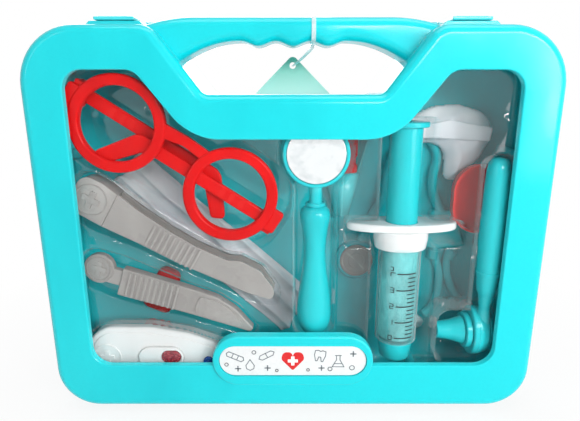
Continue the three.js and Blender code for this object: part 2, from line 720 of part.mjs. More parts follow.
const scalpelPocketShares = [
  [-0.11, -0.5, 0.44], [0.1, -0.69, 0.3], [0.6, -0.65, 1], [1, -0.69, 0.1], [1.015, -0.5, 0.06],
  [0.875, -0.02, 0.8], [0.73, 0.2, 0.8], [0.55, 0.24, 1], [0.12, 0.5, 0.5], [-0.11, 0.5, 0.44],
];
const scalpelPocket = placed(scalpelPlace, fromShares(scalpelPocketShares, scalpelLength, scalpelBreadth));

// Thermometer: a two-part white body with a pad, a red gem and a blue button that presses
const thermometerPlaceShares = [-0.399, 0.1324];
const thermometerLength = 104;
const thermometerBreadth = 38;
const thermometerThick = 11;
const padLong = 26.4;
const padHigh = 14;
const padAcross = 32;
const padThick = 1.4;
const gemLong = 11.4;
const gemHigh = 7.4;
const gemAcross = 38.3;
const gemThick = 1.2;
const buttonRadius = 2.9;
const buttonAcross = 59.7;
const buttonThick = 2.6;
const buttonTravel = 0.8;
const buttonDown = 2.6;
const thermometerPlace = placeAt(thermometerPlaceShares);
const thermometerShares = [
  [-0.11, -0.5, 0.42], [0.25, -0.5, 0.8], [0.47, -0.39, 0.8], [0.7, -0.15, 0.8], [0.99, -0.13, 0.1],
  [0.99, 0.13, 0.1], [0.7, 0.15, 0.8], [0.47, 0.39, 0.8], [0.25, 0.5, 0.8], [-0.11, 0.5, 0.42],
];

function makeThermometer() {
  const group = groupAt(thermometerPlace);
  const corners = fromShares(thermometerShares, thermometerLength, thermometerBreadth);
  const bodyZ1 = toolFrontZ - padThick - gemThick;
  const splitZ = bodyZ1 - thermometerThick / 2;
  const oval = (long, high, x, y, z0, z1, round) =>
    plate(box(x - long / 2, x + long / 2, y - high / 2, y + high / 2, high / 2), z0, z1, round, 1);
  const padSeat = oval(padLong + 2 * gap, padHigh + 2 * gap, padAcross, 0, bodyZ1 - padThick, bodyZ1 + overrun, 0);
  const well = barZ(buttonRadius + gap, bodyZ1 - buttonThick - buttonTravel, bodyZ1 + overrun,
    buttonAcross, -buttonDown, 16);
  const ring = barZ(2 * plusReach, bodyZ1 - reliefRise, bodyZ1 + reliefRise, 0, 0, 24);
  const ringInner = barZ(2 * plusReach - ribThick / 2, bodyZ1, bodyZ1 + overrun, 0, 0, 24);
  const emblem = ring.subtract(ringInner).add(plusSign(0, 0, plusReach, bodyZ1 - reliefRise, bodyZ1 + reliefRise));
  const upper = plate(corners, splitZ, bodyZ1).add(emblem);
  piece(group, 'thermometer_body', cut(upper, [padSeat, well]), white);
  piece(group, 'thermometer_back', plate(corners, bodyZ1 - thermometerThick, splitZ - gap), white);
  const padZ0 = bodyZ1 - padThick + gap;
  const gemSeat = oval(gemLong + 2 * gap, gemHigh + 2 * gap, gemAcross, 0, padZ0 + padThick, toolFrontZ + overrun, 0);
  const pad = oval(padLong, padHigh, padAcross, 0, padZ0, padZ0 + 2 * padThick, padThick / 2);
  piece(group, 'thermometer_pad', pad.subtract(gemSeat), white);
  const gemZ0 = padZ0 + padThick + gap;
  piece(group, 'thermometer_gem', oval(gemLong, gemHigh, gemAcross, 0, gemZ0, gemZ0 + gemThick + gap, gap), red);
  const buttonZ0 = bodyZ1 - buttonThick + gap;
  piece(group, 'thermometer_button',
    barZ(buttonRadius, buttonZ0, buttonZ0 + buttonThick + buttonTravel, buttonAcross, -buttonDown, 16), blue);
}

const pocketAround = (place, shares, length, breadth) => placed(place, inset(fromShares(shares, length, breadth), -snug));
const thermometerPocket = pocketAround(thermometerPlace, thermometerShares, thermometerLength, thermometerBreadth);

// Hand mirror: a turned handle that carries a ring with a mirror disc
const mirrorRing = 18.3;
const mirrorRingThick = 6;
const mirrorDiscRadius = 16;
const mirrorDiscThick = 1.2;
const mirrorNeck = 3.75;
const mirrorNeckLength = 10;
const mirrorHandleLength = 80;
const mirrorGrip = 10.1;
const mirrorAxisZ = toolFrontZ - mirrorGrip;
const mirrorGripShares = [
  [0, 0], [0.6, 0.03], [0.93, 0.1], [1, 0.2], [0.9, 0.35], [0.68, 0.52], [0.62, 0.68], [0.74, 0.82],
  [0.85, 0.9], [0.8, 0.96], [0.55, 0.99], [0, 1],
];

function makeMirror() {
  const group = groupAt(mirrorPlace);
  const ringZ0 = mirrorAxisZ - mirrorRingThick / 2 + mirrorNeck;
  const ringZ1 = ringZ0 + mirrorRingThick;
  const ring = barZ(mirrorRing, ringZ0, ringZ1, 0, 0, 28);
  const seat = barZ(mirrorDiscRadius + gap, ringZ1 - mirrorDiscThick - gap, ringZ1 + overrun, 0, 0, 28);
  const neckTop = -mirrorRing + mirrorRingThick / 2;
  const gripTop = -mirrorRing - mirrorNeckLength;
  const neck = barY(mirrorNeck, gripTop - mirrorNeck, neckTop, 0, mirrorAxisZ + mirrorNeck / 2, 12);
  const profile = mirrorGripShares.map(([r, up]) => [r * mirrorGrip, gripTop - mirrorHandleLength * (1 - up)]);
  const grip = turned(profile, 16).translate([0, 0, mirrorAxisZ]);
  piece(group, 'mirror_handle', join([ring, neck, grip]).subtract(seat), turquoise);
  const discZ0 = ringZ1 - mirrorDiscThick;
  piece(group, 'mirror_disc', barZ(mirrorDiscRadius, discZ0, discZ0 + mirrorDiscThick, 0, 0, 28), silver);
}

const mirrorPockets = [
  placed(mirrorPlace, box(-mirrorRing - 2 * snug, mirrorRing + 2 * snug, -mirrorRing - 2 * snug,
    mirrorRing + 2 * snug, mirrorRing + 2 * snug)),
  placed(mirrorPlace, box(-mirrorGrip - snug, mirrorGrip + snug,
    -mirrorRing - mirrorNeckLength - mirrorHandleLength - snug, -mirrorRing / 2, mirrorGrip)),
];

// Syringe: a clear barrel in a white collar with finger flange, a plunger with its piston, a tip cap
const syringePlaceShares = [0.2262, 0.4915];
const barrelRadius = 12.2;
const barrelWall = 1.5;
const barrelLength = 60;
const barrelFloor = 2;
const collarRadius = 15.5;
const collarHeight = 11;
const collarDepthShare = 0.8;
const flangeLength = 62.7;
const flangeDepth = 24;
const flangeThick = 4.6;
const nozzleRadius = 5;
const nozzleLength = 6;
const capRadius = 9.2;
const capLength = 12.5;
const plungerRadius = 8.9;
const plungerWall = 1.6;
const plungerOut = 56;
const thumbRadius = 12.2;
const thumbThick = 3;
const pistonThick = 9;
const pistonDown = 11;
const syringeAxisZ = toolFrontZ - barrelRadius - snug;
const syringePlace = placeAt(syringePlaceShares);

function makeSyringe() {
  const group = groupAt(syringePlace);
  const bore = barrelRadius - barrelWall;
  const at = (body) => body.translate([0, 0, syringeAxisZ]);
  const barrelTop = -collarHeight + barrelFloor;
  const barrelBottom = -barrelLength;
  const barrel = turned([
    [0, barrelBottom], [barrelRadius, barrelBottom], [barrelRadius, barrelTop], [bore, barrelTop],
    [bore, barrelBottom + barrelFloor], [0, barrelBottom + barrelFloor],
  ], 24);
  const nozzle = barY(nozzleRadius, barrelBottom - nozzleLength, barrelBottom + barrelFloor / 2, 0, 0, 16);
  piece(group, 'syringe_barrel', at(barrel.add(nozzle)), clearBarrel);
  const collar = turned([[0, -collarHeight], [collarRadius * 0.94, -collarHeight], [collarRadius, -collarHeight / 2],
    [collarRadius, 0], [0, 0]], 24, collarDepthShare);
  const flangeShape = new THREE.Shape().absellipse(0, 0, flangeLength / 2, flangeDepth / 2, 0, 2 * Math.PI, false, 0);
  const flange = slab(flangeShape, 0, flangeThick, flangeThick / 4, 1, 14).rotate([-90, 0, 0]).translate([0, -weld, 0]);
  const barrelSeat = barY(barrelRadius + gap, -collarHeight - overrun, barrelTop + gap, 0, 0, 24);
  const rodHole = barY(plungerRadius + gap, -collarHeight, flangeThick + overrun, 0, 0, 24);
  piece(group, 'syringe_collar', at(cut(join([collar, flange]), [barrelSeat, rodHole])), white);
  const rodTop = flangeThick + plungerOut;
  const rodFoot = -collarHeight - pistonDown + pistonThick + gap;
  const rod = barY(plungerRadius, rodFoot, rodTop, 0, 0, 24);
  const thumb = barY(thumbRadius, rodTop - thumbThick, rodTop, 0, 0, 24);
  const rodBore = barY(plungerRadius - plungerWall, rodFoot - overrun, rodTop - thumbThick, 0, 0, 16);
  piece(group, 'syringe_plunger', at(rod.add(thumb).subtract(rodBore)), turquoise);
  const pistonRadius = bore - gap;
  const piston = turned([[0, -pistonThick], [pistonRadius, -pistonThick], [pistonRadius, -pistonThick * 0.7],
    [pistonRadius * 0.9, -pistonThick * 0.5], [pistonRadius, -pistonThick * 0.3], [pistonRadius, 0], [0, 0]], 24);
  piece(group, 'syringe_piston', at(piston.translate([0, rodFoot - gap, 0])), paleTurquoise);
  const cap = turned([[0, -capLength], [capRadius * 0.9, -capLength], [capRadius, 0], [0, 0]], 20);
  const capSeat = barY(nozzleRadius + gap, -nozzleLength - gap, overrun, 0, 0, 16);
  piece(group, 'syringe_tip_cap', at(cap.subtract(capSeat).translate([0, barrelBottom - gap, 0])), turquoise);
}

const syringePockets = [
  box(-flangeLength / 2 - snug, flangeLength / 2 + snug, -collarHeight / 2, flangeThick + snug, flangeThick / 2),
  box(-collarRadius - snug, collarRadius + snug, -barrelLength - capLength - 2 * snug, flangeThick, collarRadius / 2),
  box(-thumbRadius - snug, thumbRadius + snug, 0, flangeThick + plungerOut + 2 * snug, thumbThick / 3),
].map((corners) => placed(syringePlace, corners));

// Otoscope: a turned handle, a lamp head across its foot, a ring and a hollow cone
const otoscopePlaceShares = [0.4098, 0.192];
const scopeHandleLength = 81;
const scopeHandleRadius = 7.2;
const scopeNeckRadius = 3.6;
const scopeHeadLength = 13;
const scopeHeadRadius = 15;
const scopeHeadDepthShare = 0.84;
const scopeRingRadius = 10.6;
const scopeRingLength = 3.4;
const scopeConeLength = 15.5;
const scopeConeWide = 8.6;
const scopeConeTip = 4.8;
const scopeConeWall = 1.3;
const scopeHandleGap = 9.5;
const scopePlace = placeAt(otoscopePlaceShares);
const scopeAxisZ = toolFrontZ - scopeHeadRadius * scopeHeadDepthShare - snug;
const scopeHandleZ = toolFrontZ - scopeHandleRadius - snug;
const scopeHandleShares = [
  [0, 0], [0.6, 0.01], [0.84, 0.1], [0.95, 0.3], [1, 0.5], [0.96, 0.75], [0.9, 0.9], [0.6, 0.98], [0, 1],
];

function makeOtoscope() {
  const group = groupAt(scopePlace);
  const alongX = (profile, steps, depthShare) =>
    turned(profile, steps, depthShare).rotate([0, 0, 90]).translate([0, 0, scopeAxisZ]);
  const headEnd = -scopeHeadLength / 2;
  const head = alongX([
    [0, headEnd], [scopeHeadRadius * 0.62, headEnd], [scopeHeadRadius * 0.9, headEnd + scopeHeadLength * 0.3],
    [scopeHeadRadius, headEnd + scopeHeadLength * 0.65], [scopeHeadRadius, -headEnd], [0, -headEnd],
  ], 24, scopeHeadDepthShare);
  const neckTop = scopeHeadRadius + scopeHandleGap;
  const neckAxis = scopeHandleZ;
  const neck = barY(scopeNeckRadius, scopeHeadRadius / 2, neckTop + scopeNeckRadius, 0, neckAxis, 12);
  const profile = scopeHandleShares.map(([r, up]) => [r * scopeHandleRadius, neckTop + scopeHandleLength * up]);
  const handle = turned(profile, 16).translate([0, 0, scopeHandleZ]);
  piece(group, 'otoscope_handle', join([handle, neck, head]), turquoise);
  const ringX = -headEnd + gap;
  const ring = alongX([[0, ringX], [scopeRingRadius, ringX], [scopeRingRadius, ringX + scopeRingLength],
    [0, ringX + scopeRingLength]], 20, 1);
  piece(group, 'otoscope_ring', ring, turquoise);
  const coneX = ringX + scopeRingLength + gap;
  const cone = alongX([
    [0, coneX], [scopeConeWide, coneX], [scopeConeTip, coneX + scopeConeLength],
    [scopeConeTip - scopeConeWall, coneX + scopeConeLength], [scopeConeWide - 2 * scopeConeWall, coneX + scopeConeWall],
    [0, coneX + scopeConeWall],
  ], 20, 1);
  piece(group, 'otoscope_cone', cone, turquoise);
}

const scopePockets = [
  box(-scopeHeadLength / 2 - 2 * gap - scopeRingLength - scopeConeLength - snug, scopeHeadLength / 2 + snug,
    -scopeHeadRadius - snug, scopeHeadRadius + snug, scopeConeTip),
  box(-scopeHandleRadius - snug, scopeHandleRadius + snug, 0,
    scopeHeadRadius + scopeHandleGap + scopeHandleLength + snug, scopeHandleRadius),
].map((corners) => placed(scopePlace, corners));

// The clear tray: a raised land with a pocket for each instrument, and a flange on the shell's posts
const trayInset = 7;
const flangeClear = 0.5;

function makeTray() {
  const wallZ = flangeBackZ;
  const outerWall = plate(inset(caseOutline, trayInset), wallZ, landFrontZ);
  const innerWall = plate(inset(caseOutline, trayInset + trayWall), wallZ - overrun, landFrontZ - trayWall);
  const flange = plate(inset(caseOutline, wall + flangeClear), wallZ, wallZ + trayWall);
  const flangeHole = plate(inset(caseOutline, trayInset + trayWall / 2), wallZ - overrun, wallZ + overrun);
  const sheet = outerWall.subtract(innerWall).add(flange.subtract(flangeHole));
  const flatFloorZ = toolFrontZ - reliefRise - tweezersSpread - snug;
  const pockets = [
    [glassesPocket, glassesFloorZ],
    [tweezersPocket, flatFloorZ],
    [scalpelPocket, toolFrontZ - reliefRise - scalpelThick - snug],
    [thermometerPocket, toolFrontZ - padThick - gemThick - thermometerThick - snug],
    ...mirrorPockets.map((corners) => [corners, mirrorAxisZ - mirrorGrip - snug]),
    ...syringePockets.map((corners) => [corners, syringeAxisZ - collarRadius * collarDepthShare - snug]),
    [scopePockets[0], scopeAxisZ - scopeHeadRadius * scopeHeadDepthShare - snug],
    [scopePockets[1], scopeHandleZ - scopeHandleRadius - snug],
  ];
  const walls = pockets.map(([corners, floorZ]) =>
    plate(inset(corners, -trayWall), floorZ - trayWall, landFrontZ));
  const hollows = pockets.map(([corners, floorZ]) => plate(corners, floorZ, landFrontZ + overrun));
  piece(shell, 'blister_tray', cut(join([sheet, ...walls]), hollows), clearTray);
}

// Loose things behind the tray lie against the back of the shell, in two layers
const backLayerZ = shellInnerZ + gap;
const flatTubeThick = 6;
const upperLayerZ = backLayerZ + flatTubeThick + gap;
const upperLayerTop = -7.4;

// A bar of even width along a bent line of points
function bentBar(points, width, z0, z1) {
  const left = [];
  const right = [];
  points.forEach((point, i) => {
    const before = points[Math.max(i - 1, 0)];
    const after = points[Math.min(i + 1, points.length - 1)];
    const run = new THREE.Vector2(after[0] - before[0], after[1] - before[1]).normalize();
    left.push(corner(point[0] - run.y * width / 2, point[1] + run.x * width / 2));
    right.unshift(corner(point[0] + run.y * width / 2, point[1] - run.x * width / 2));
  });
  return plate([...left, ...right].reverse(), z0, z1);
}

// Nose scope: a turquoise funnel with a red core that shows through its open front
const funnelPlaceShares = [0.11, 0.5];
const funnelRadius = 15.5;
const funnelHeight = 34;
const funnelNeck = 5;
const funnelNeckLength = 16;
const funnelWall = 1.6;
const funnelDepthShare = 0.56;
const funnelPlace = placeAt(funnelPlaceShares);

function makeNoseScope() {
  const group = groupAt(funnelPlace);
  const axisZ = backLayerZ + funnelRadius * funnelDepthShare;
  const at = (body) => body.translate([0, 0, axisZ]);
  const flareY = funnelNeckLength + funnelHeight * 0.3;
  const top = funnelNeckLength + funnelHeight;
  const body = turned([[0, 0], [funnelNeck, 0], [funnelNeck, funnelNeckLength], [funnelRadius * 0.72, flareY],
    [funnelRadius, top], [0, top]], 20, funnelDepthShare);
  const inner = turned([[0, flareY], [funnelRadius * 0.72 - funnelWall, flareY],
    [funnelRadius - funnelWall, top + overrun], [0, top + overrun]], 20, funnelDepthShare);
  const front = plate(box(0, funnelRadius + overrun, flareY, top + overrun), 0, funnelRadius);
  piece(group, 'nose_scope_funnel', at(cut(body, [inner, front])), turquoise);
  const coreRadius = funnelRadius * 0.72 - funnelWall - gap;
  const core = turned([[0, flareY + gap], [coreRadius, flareY + gap], [coreRadius, top], [0, top]], 20, funnelDepthShare);
  piece(group, 'nose_scope_core', at(core), red);
}

// Stethoscope: a chest piece with its diaphragm, a looped tube, a yoke and two ear tubes below it
const chestPlaceShares = [0.149, 0.355];
const chestRadius = 13;
const chestThick = 7;
const diaphragmRadius = 10.4;
const diaphragmThick = 1;
const tubeWide = 6;
const earTipRadius = 4.4;
const earTipLong = 7;
const chestPlace = placeAt(chestPlaceShares);
const tubeReach = 100;
const loopShares = [
  [0, 0.1], [0.08, 0.26], [0.16, 0.42], [0.18, 0.58], [0.24, 0.72], [0.35, 0.79],
  [0.44, 0.76], [0.485, 0.66], [0.465, 0.54], [0.48, 0.42], [0.53, 0.32],
];
const yokeShares = [[0.44, 0.08], [0.7, 0.08], [0.6, 0.33], [0.46, 0.33]];
const earTubeShares = [
  [[0.5, 0.1], [0.52, 0], [0.55, -0.1], [0.55, -0.24], [0.52, -0.34], [0.47, -0.39]],
  [[0.63, 0.1], [0.6, 0.02], [0.6, -0.08], [0.63, -0.18], [0.67, -0.25], [0.7, -0.28]],
];

function makeStethoscope() {
  const group = groupAt(chestPlace);
  const z0 = backLayerZ;
  const z1 = z0 + flatTubeThick;
  const disc = barZ(chestRadius, z0, z0 + chestThick, 0, 0, 24);
  const seat = barZ(diaphragmRadius + gap, z0 + chestThick - diaphragmThick, z0 + chestThick + overrun, 0, 0, 24);
  piece(group, 'stethoscope_chest_piece', disc.subtract(seat), turquoise);
  piece(group, 'stethoscope_diaphragm', barZ(diaphragmRadius, z0 + chestThick - diaphragmThick + gap,
    z0 + chestThick + gap, 0, 0, 24), grey);
  const along = (shares) => shares.map(([x, y]) => [x * tubeReach, y * tubeReach]);
  const tubes = [loopShares, ...earTubeShares].map((shares) => bentBar(along(shares), tubeWide, z0, z1));
  const yoke = plate(along(yokeShares).map(([x, y]) => corner(x, y, tubeWide / 2)), z0, z1);
  const chestSide = barZ(chestRadius + gap, z0 - overrun, z1 + overrun, 0, 0, 24);
  piece(group, 'stethoscope_tubes', join([...tubes, yoke]).subtract(chestSide), turquoise);
  earTubeShares.map(along).forEach((points, i) => {
    const [x, y] = points[points.length - 1];
    const [fromX, fromY] = points[points.length - 2];
    const lean = Math.atan2(y - fromY, x - fromX);
    const middle = tubeWide / 2 + gap + earTipLong / 2;
    const tip = barX(earTipRadius, -earTipLong / 2, earTipLong / 2, 0, 0, 12)
      .rotate([0, 0, (lean * 180) / Math.PI])
      .translate([x + middle * Math.cos(lean), y + middle * Math.sin(lean), z0 + earTipRadius]);
    piece(group, i === 0 ? 'stethoscope_ear_tip_left' : 'stethoscope_ear_tip_right', tip, white);
  });
}

// Nurse cap: folded cloth with a turned-up band across its front
const capPlaceShares = [0.332, 0.712];
const capWide = 58;
const capHigh = 45;
const capThick = 9;
const bandThick = 2.4;
const capPlace = placeAt(capPlaceShares);
const capShares = [
  [-0.5, 0.02, 0.07], [0, -0.04, 0.2], [0.01, -0.5, 0.12], [0.14, -0.53, 0.12], [0.38, -0.22, 0.4],
  [0.5, 0.1, 0.3], [0.42, 0.38, 0.3], [0.1, 0.5, 0.4], [-0.2, 0.46, 0.5], [-0.5, 0.2, 0.07],
];
const bandShares = [
  [-0.46, 0.06, 0.03], [-0.1, 0.06, 0.4], [0.42, 0.02, 0.1], [0.44, 0.2, 0.1], [0, 0.3, 0.5], [-0.46, 0.18, 0.03],
];

function makeNurseCap() {
  const group = groupAt(capPlace);
  const crown = plate(fromShares(capShares, capWide, capHigh), upperLayerZ, upperLayerZ + capThick, capThick / 4);
  const band = plate(fromShares(bandShares, capWide, capHigh), upperLayerZ + capThick - bandThick,
    upperLayerZ + capThick + bandThick / 2, bandThick / 4, 1);
  piece(group, 'nurse_cap', crown.add(band), cloth);
}

// Kidney dish: a red bean-shaped bowl
const dishPlaceShares = [0.403, 0.561];
const dishWide = 33;
const dishHigh = 41;
const dishDeep = 7;
const dishWall = 1.4;
const dishPlace = placeAt(dishPlaceShares);
const dishShares = [[-0.5, -0.5, 0.38], [0.5, -0.5, 0.2], [0.3, 0, 0.4], [0.5, 0.5, 0.2], [-0.5, 0.5, 0.38]];

function makeKidneyDish() {
  const group = groupAt(dishPlace);
  const corners = fromShares(dishShares, dishWide, dishHigh);
  const z0 = upperLayerZ + capThick + bandThick / 2 + gap;
  const bowl = plate(corners, z0, z0 + dishDeep);
  const hollow = plate(inset(corners, dishWall), z0 + dishWall, z0 + dishDeep + overrun);
  piece(group, 'kidney_dish', bowl.subtract(hollow), red);
}

// Reflex hammer: a red wedge head on a flat turquoise handle
const hammerPlaceShares = [-0.308, 0.258];
const hammerTurn = 66;
const hammerHeadLong = 30;
const hammerHeadHigh = 21;
const hammerHeadThick = 9;
const hammerHandleLong = 31;
const hammerHandleWide = 8;
const hammerSeatShare = 0.43;
const hammerPlace = placeAt(hammerPlaceShares, radians(hammerTurn));

function makeHammer() {
  const group = groupAt(hammerPlace);
  const z0 = backLayerZ;
  const half = hammerHeadLong / 2;
  const round = hammerHeadHigh / 4;
  const head = plate([
    corner(-half, -hammerHeadHigh / 2, round),
    corner(half, -hammerHeadHigh / 3, round),
    corner(half, hammerHeadHigh / 3, round),
    corner(-half, hammerHeadHigh / 2, round),
  ], z0, z0 + hammerHeadThick, hammerHeadThick / 4);
  piece(group, 'hammer_head', head, red);
  const y0 = hammerHeadHigh * hammerSeatShare + gap;
  const handle = plate(box(-hammerHandleWide / 2, hammerHandleWide / 2, y0, y0 + hammerHandleLong,
    hammerHandleWide / 3), z0, z0 + hammerHeadThick * 0.7);
  piece(group, 'hammer_handle', handle, turquoise);
}

// Folded cloth: a soft strip whose front face rises and falls in broad folds
const clothPlaceShares = [-0.18, 0.4];
const clothTurn = -43;
const clothLong = 146;
const clothWide = 34;
const clothThick = 4.4;
const foldHeight = 1.3;
const foldCount = 3;
const clothColumns = 16;
const clothRows = 6;
const clothPlace = placeAt(clothPlaceShares, radians(clothTurn));

function makeCloth() {
  const group = groupAt(clothPlace);
  const geometry = new THREE.BoxGeometry(clothLong, clothWide, clothThick, clothColumns, clothRows, 1);
  const spots = geometry.attributes.position;
  for (let i = 0; i < spots.count; i += 1) {
    if (spots.getZ(i) > 0) {
      const across = spots.getY(i) / clothWide + (0.4 * spots.getX(i)) / clothLong;
      spots.setZ(i, spots.getZ(i) + foldHeight * Math.sin(2 * Math.PI * foldCount * across));
    }
  }
  piece(group, 'folded_cloth', solid(geometry.translate(0, 0, backLayerZ + clothThick / 2)), cloth);
}

// The retail tag behind the handle, on a clear strap round it
const strapAcross = 10.5;
const strapWide = 2.2;
const strapThick = 0.6;
const tagSide = 44;
const tagThick = 0.5;
const tagCorner = 3;
const tagHole = 1.9;
const tagHoleFromApex = 5;
const tagApexDrop = 11.8;
const threadRadius = 0.5;

function makeTag() {
  const tagZ1 = backZ - gap;
  const apexY = topY - tagApexDrop;
  const middleY = apexY + (Math.SQRT2 - 1) * tagCorner - tagSide / Math.SQRT2;
  const square = placed({ x: 0, y: middleY, turn: Math.PI / 4 },
    box(-tagSide / 2, tagSide / 2, -tagSide / 2, tagSide / 2, tagCorner));
  const holeY = apexY - tagHoleFromApex;
  const hole = barZ(tagHole, tagZ1 - tagThick - overrun, tagZ1 + overrun, 0, holeY, 12);
  piece(contents, 'hang_tag', plate(square, tagZ1 - tagThick, tagZ1).subtract(hole), paper);
  const low = handleUnderside(strapAcross + strapWide) - gap;
  const high = topY + handleTopRise + gap;
  const loop = box(-handleFrontZ - gap, -handleBackZ + gap, low, high, handleRound);
  const band = plate(inset(loop, -strapThick), -strapWide / 2, strapWide / 2)
    .subtract(plate(loop, -strapWide, strapWide));
  const turnedBand = band.rotate([0, 90, 0]).translate([strapAcross, 0, 0]);
  const from = new THREE.Vector3(strapAcross, low - strapThick / 2, handleBackZ + handleRound);
  const to = new THREE.Vector3(0, holeY, tagZ1 - tagThick / 2);
  const section = new THREE.Shape().absarc(0, 0, threadRadius, 0, 2 * Math.PI, false);
  const thread = solid(new THREE.ExtrudeGeometry(section, {
    steps: 1, curveSegments: 4, bevelEnabled: false, extrudePath: new THREE.LineCurve3(from, to),
  }));
  piece(contents, 'tag_strap', turnedBand.add(thread), clearTray);
}

makeCover();
makeRearShell();
makeHingePins();
makeLatch(-1, 'left');
makeLatch(1, 'right');
makeTray();
makeGlasses();
makeTweezers();
makeScalpel();
makeThermometer();
makeMirror();
makeSyringe();
makeOtoscope();
makeNoseScope();
makeStethoscope();
makeNurseCap();
makeKidneyDish();
makeHammer();
makeCloth();
makeTag();

const toyDoctorCase = new THREE.Group();
toyDoctorCase.rotation.x = Math.PI / 2;
toyDoctorCase.add(shell, contents);

export default toyDoctorCase;
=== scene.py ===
"""Toy doctor case: the looks of the carrying case and of the toy instruments seen through its window.

Every piece is shaped in millimetres as the case is seen from the front (x right, y up, z towards
the viewer) and then laid into the frame, in metres, by piece().
"""
import math
import bpy
import bmesh
import numpy as np
from mathutils import Matrix, Vector


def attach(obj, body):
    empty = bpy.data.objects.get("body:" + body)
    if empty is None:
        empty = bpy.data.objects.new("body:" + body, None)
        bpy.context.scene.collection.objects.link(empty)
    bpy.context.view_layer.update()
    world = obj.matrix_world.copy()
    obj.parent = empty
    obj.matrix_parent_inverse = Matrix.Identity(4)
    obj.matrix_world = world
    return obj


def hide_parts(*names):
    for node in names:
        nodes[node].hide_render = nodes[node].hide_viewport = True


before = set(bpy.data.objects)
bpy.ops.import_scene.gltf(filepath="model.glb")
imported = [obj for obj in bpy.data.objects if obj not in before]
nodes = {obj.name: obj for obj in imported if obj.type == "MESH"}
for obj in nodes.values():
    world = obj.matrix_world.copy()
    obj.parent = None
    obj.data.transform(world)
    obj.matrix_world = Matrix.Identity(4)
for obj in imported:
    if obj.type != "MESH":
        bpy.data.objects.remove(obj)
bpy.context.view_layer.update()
MM = 0.001
STAND_UP = Matrix(((MM, 0, 0, 0), (0, 0, -MM, 0), (0, MM, 0, 0), (0, 0, 0, 1)))


# ---------------------------------------------------------------- camera
camera_data = bpy.data.cameras.new("photo_camera")
camera_data.sensor_width = 36
camera_data.lens = 29.3
camera_data.clip_start = 0.01
camera = bpy.data.objects.new("photo_camera", camera_data)
camera.location = (-0.0016, -0.2684, 0.1833)
camera.rotation_euler = (math.radians(76), 0, 0)
bpy.context.scene.collection.objects.link(camera)
bpy.context.scene.camera = camera


# ---------------------------------------------------------------- shaping tools
def lies_at(part, level):
    """Whether an edge or a face lies flat at that depth."""
    return all(abs(v.co.z - level) < 0.01 for v in part.verts)


def verts_in(geom):
    return [g for g in geom if isinstance(g, bmesh.types.BMVert)]


def everything(bm):
    return bm.verts[:] + bm.edges[:] + bm.faces[:]


def ease_edges(bm, edges, size, steps):
    """Rounds some edges over."""
    bmesh.ops.bevel(bm, geom=edges, offset=size, offset_type="OFFSET", affect="EDGES", segments=steps,
                    profile=0.5, material=-1, clamp_overlap=True)


def outline_face(bm, corners, z, arc):
    """A flat face from a few corners (x, y, rounding), each rounded in steps of about arc degrees."""
    spots = [bm.verts.new((c[0], c[1], z)) for c in corners]
    bm.faces.new(spots)
    cuts = []
    for i, (x, y, r) in enumerate(corners):
        before, after = corners[i - 1], corners[(i + 1) % len(corners)]
        into = Vector((x - before[0], y - before[1]))
        out = Vector((after[0] - x, after[1] - y))
        turn = abs(into.angle_signed(out, 0.0))
        cut = min(r * math.tan(turn / 2), 0.497 * min(into.length, out.length))
        if cut > 0.01:
            cuts.append((spots[i], cut, max(2, math.ceil(math.degrees(turn) / arc))))
    for spot, cut, steps in cuts:
        bmesh.ops.bevel(bm, geom=[spot], offset=cut, offset_type="OFFSET", affect="VERTICES",
                        segments=steps, profile=0.5, material=-1, clamp_overlap=False)
    bmesh.ops.remove_doubles(bm, verts=bm.verts, dist=0.02)
    bm.faces.ensure_lookup_table()
    return bm.faces[0]


def outline_points(corners, arc):
    """The rounded outline as an array of points, in order."""
    bm = bmesh.new()
    face = outline_face(bm, corners, 0, arc)
    points = np.array([v.co[:2] for v in face.verts])
    bm.free()
    return points


def inset(corners, by):
    """The same outline moved inwards, its roundings following."""
    moved = []
    for i, (x, y, r) in enumerate(corners):
        before, after = corners[i - 1], corners[(i + 1) % len(corners)]
        into = Vector((x - before[0], y - before[1])).normalized()
        out = Vector((after[0] - x, after[1] - y)).normalized()
        turn = math.atan2(into.cross(out), into.dot(out))
        slant = math.tan(turn / 2)
        moved.append((x - by * into.y - by * slant * into.x, y + by * into.x - by * slant * into.y,
                      0 if r == 0 else max(r - by * math.copysign(1, turn), 0)))
    return moved


def rounded_box(x0, x1, y0, y1, r):
    return [(x0, y0, r), (x1, y0, r), (x1, y1, r), (x0, y1, r)]


def from_shares(shares, length, width):
    """An outline given as shares of a tool's length and width."""
    return [(x * length, y * width, r * width) for x, y, r in shares]


def mirrored(corners):
    return [(-x, y, r) for x, y, r in reversed(corners)]


def both_sides(right):
    """A whole outline from its right half, which runs from the foot to the top."""
    return right + mirrored(right)


def plate(corners, z0, z1, front, back, steps=3, arc=11):
    """A plate between two depths, with its front and back rims rounded over."""
    bm = bmesh.new()
    face = outline_face(bm, corners, z0, arc)
    raised = bmesh.ops.extrude_face_region(bm, geom=[face])["geom"]
    bmesh.ops.translate(bm, verts=verts_in(raised), vec=(0, 0, z1 - z0))
    bmesh.ops.recalc_face_normals(bm, faces=bm.faces)
    for level, size in ((z1, front), (z0, back)):
        if size > 0:
            ease_edges(bm, [e for e in bm.edges if lies_at(e, level)], size, steps)
    return bm


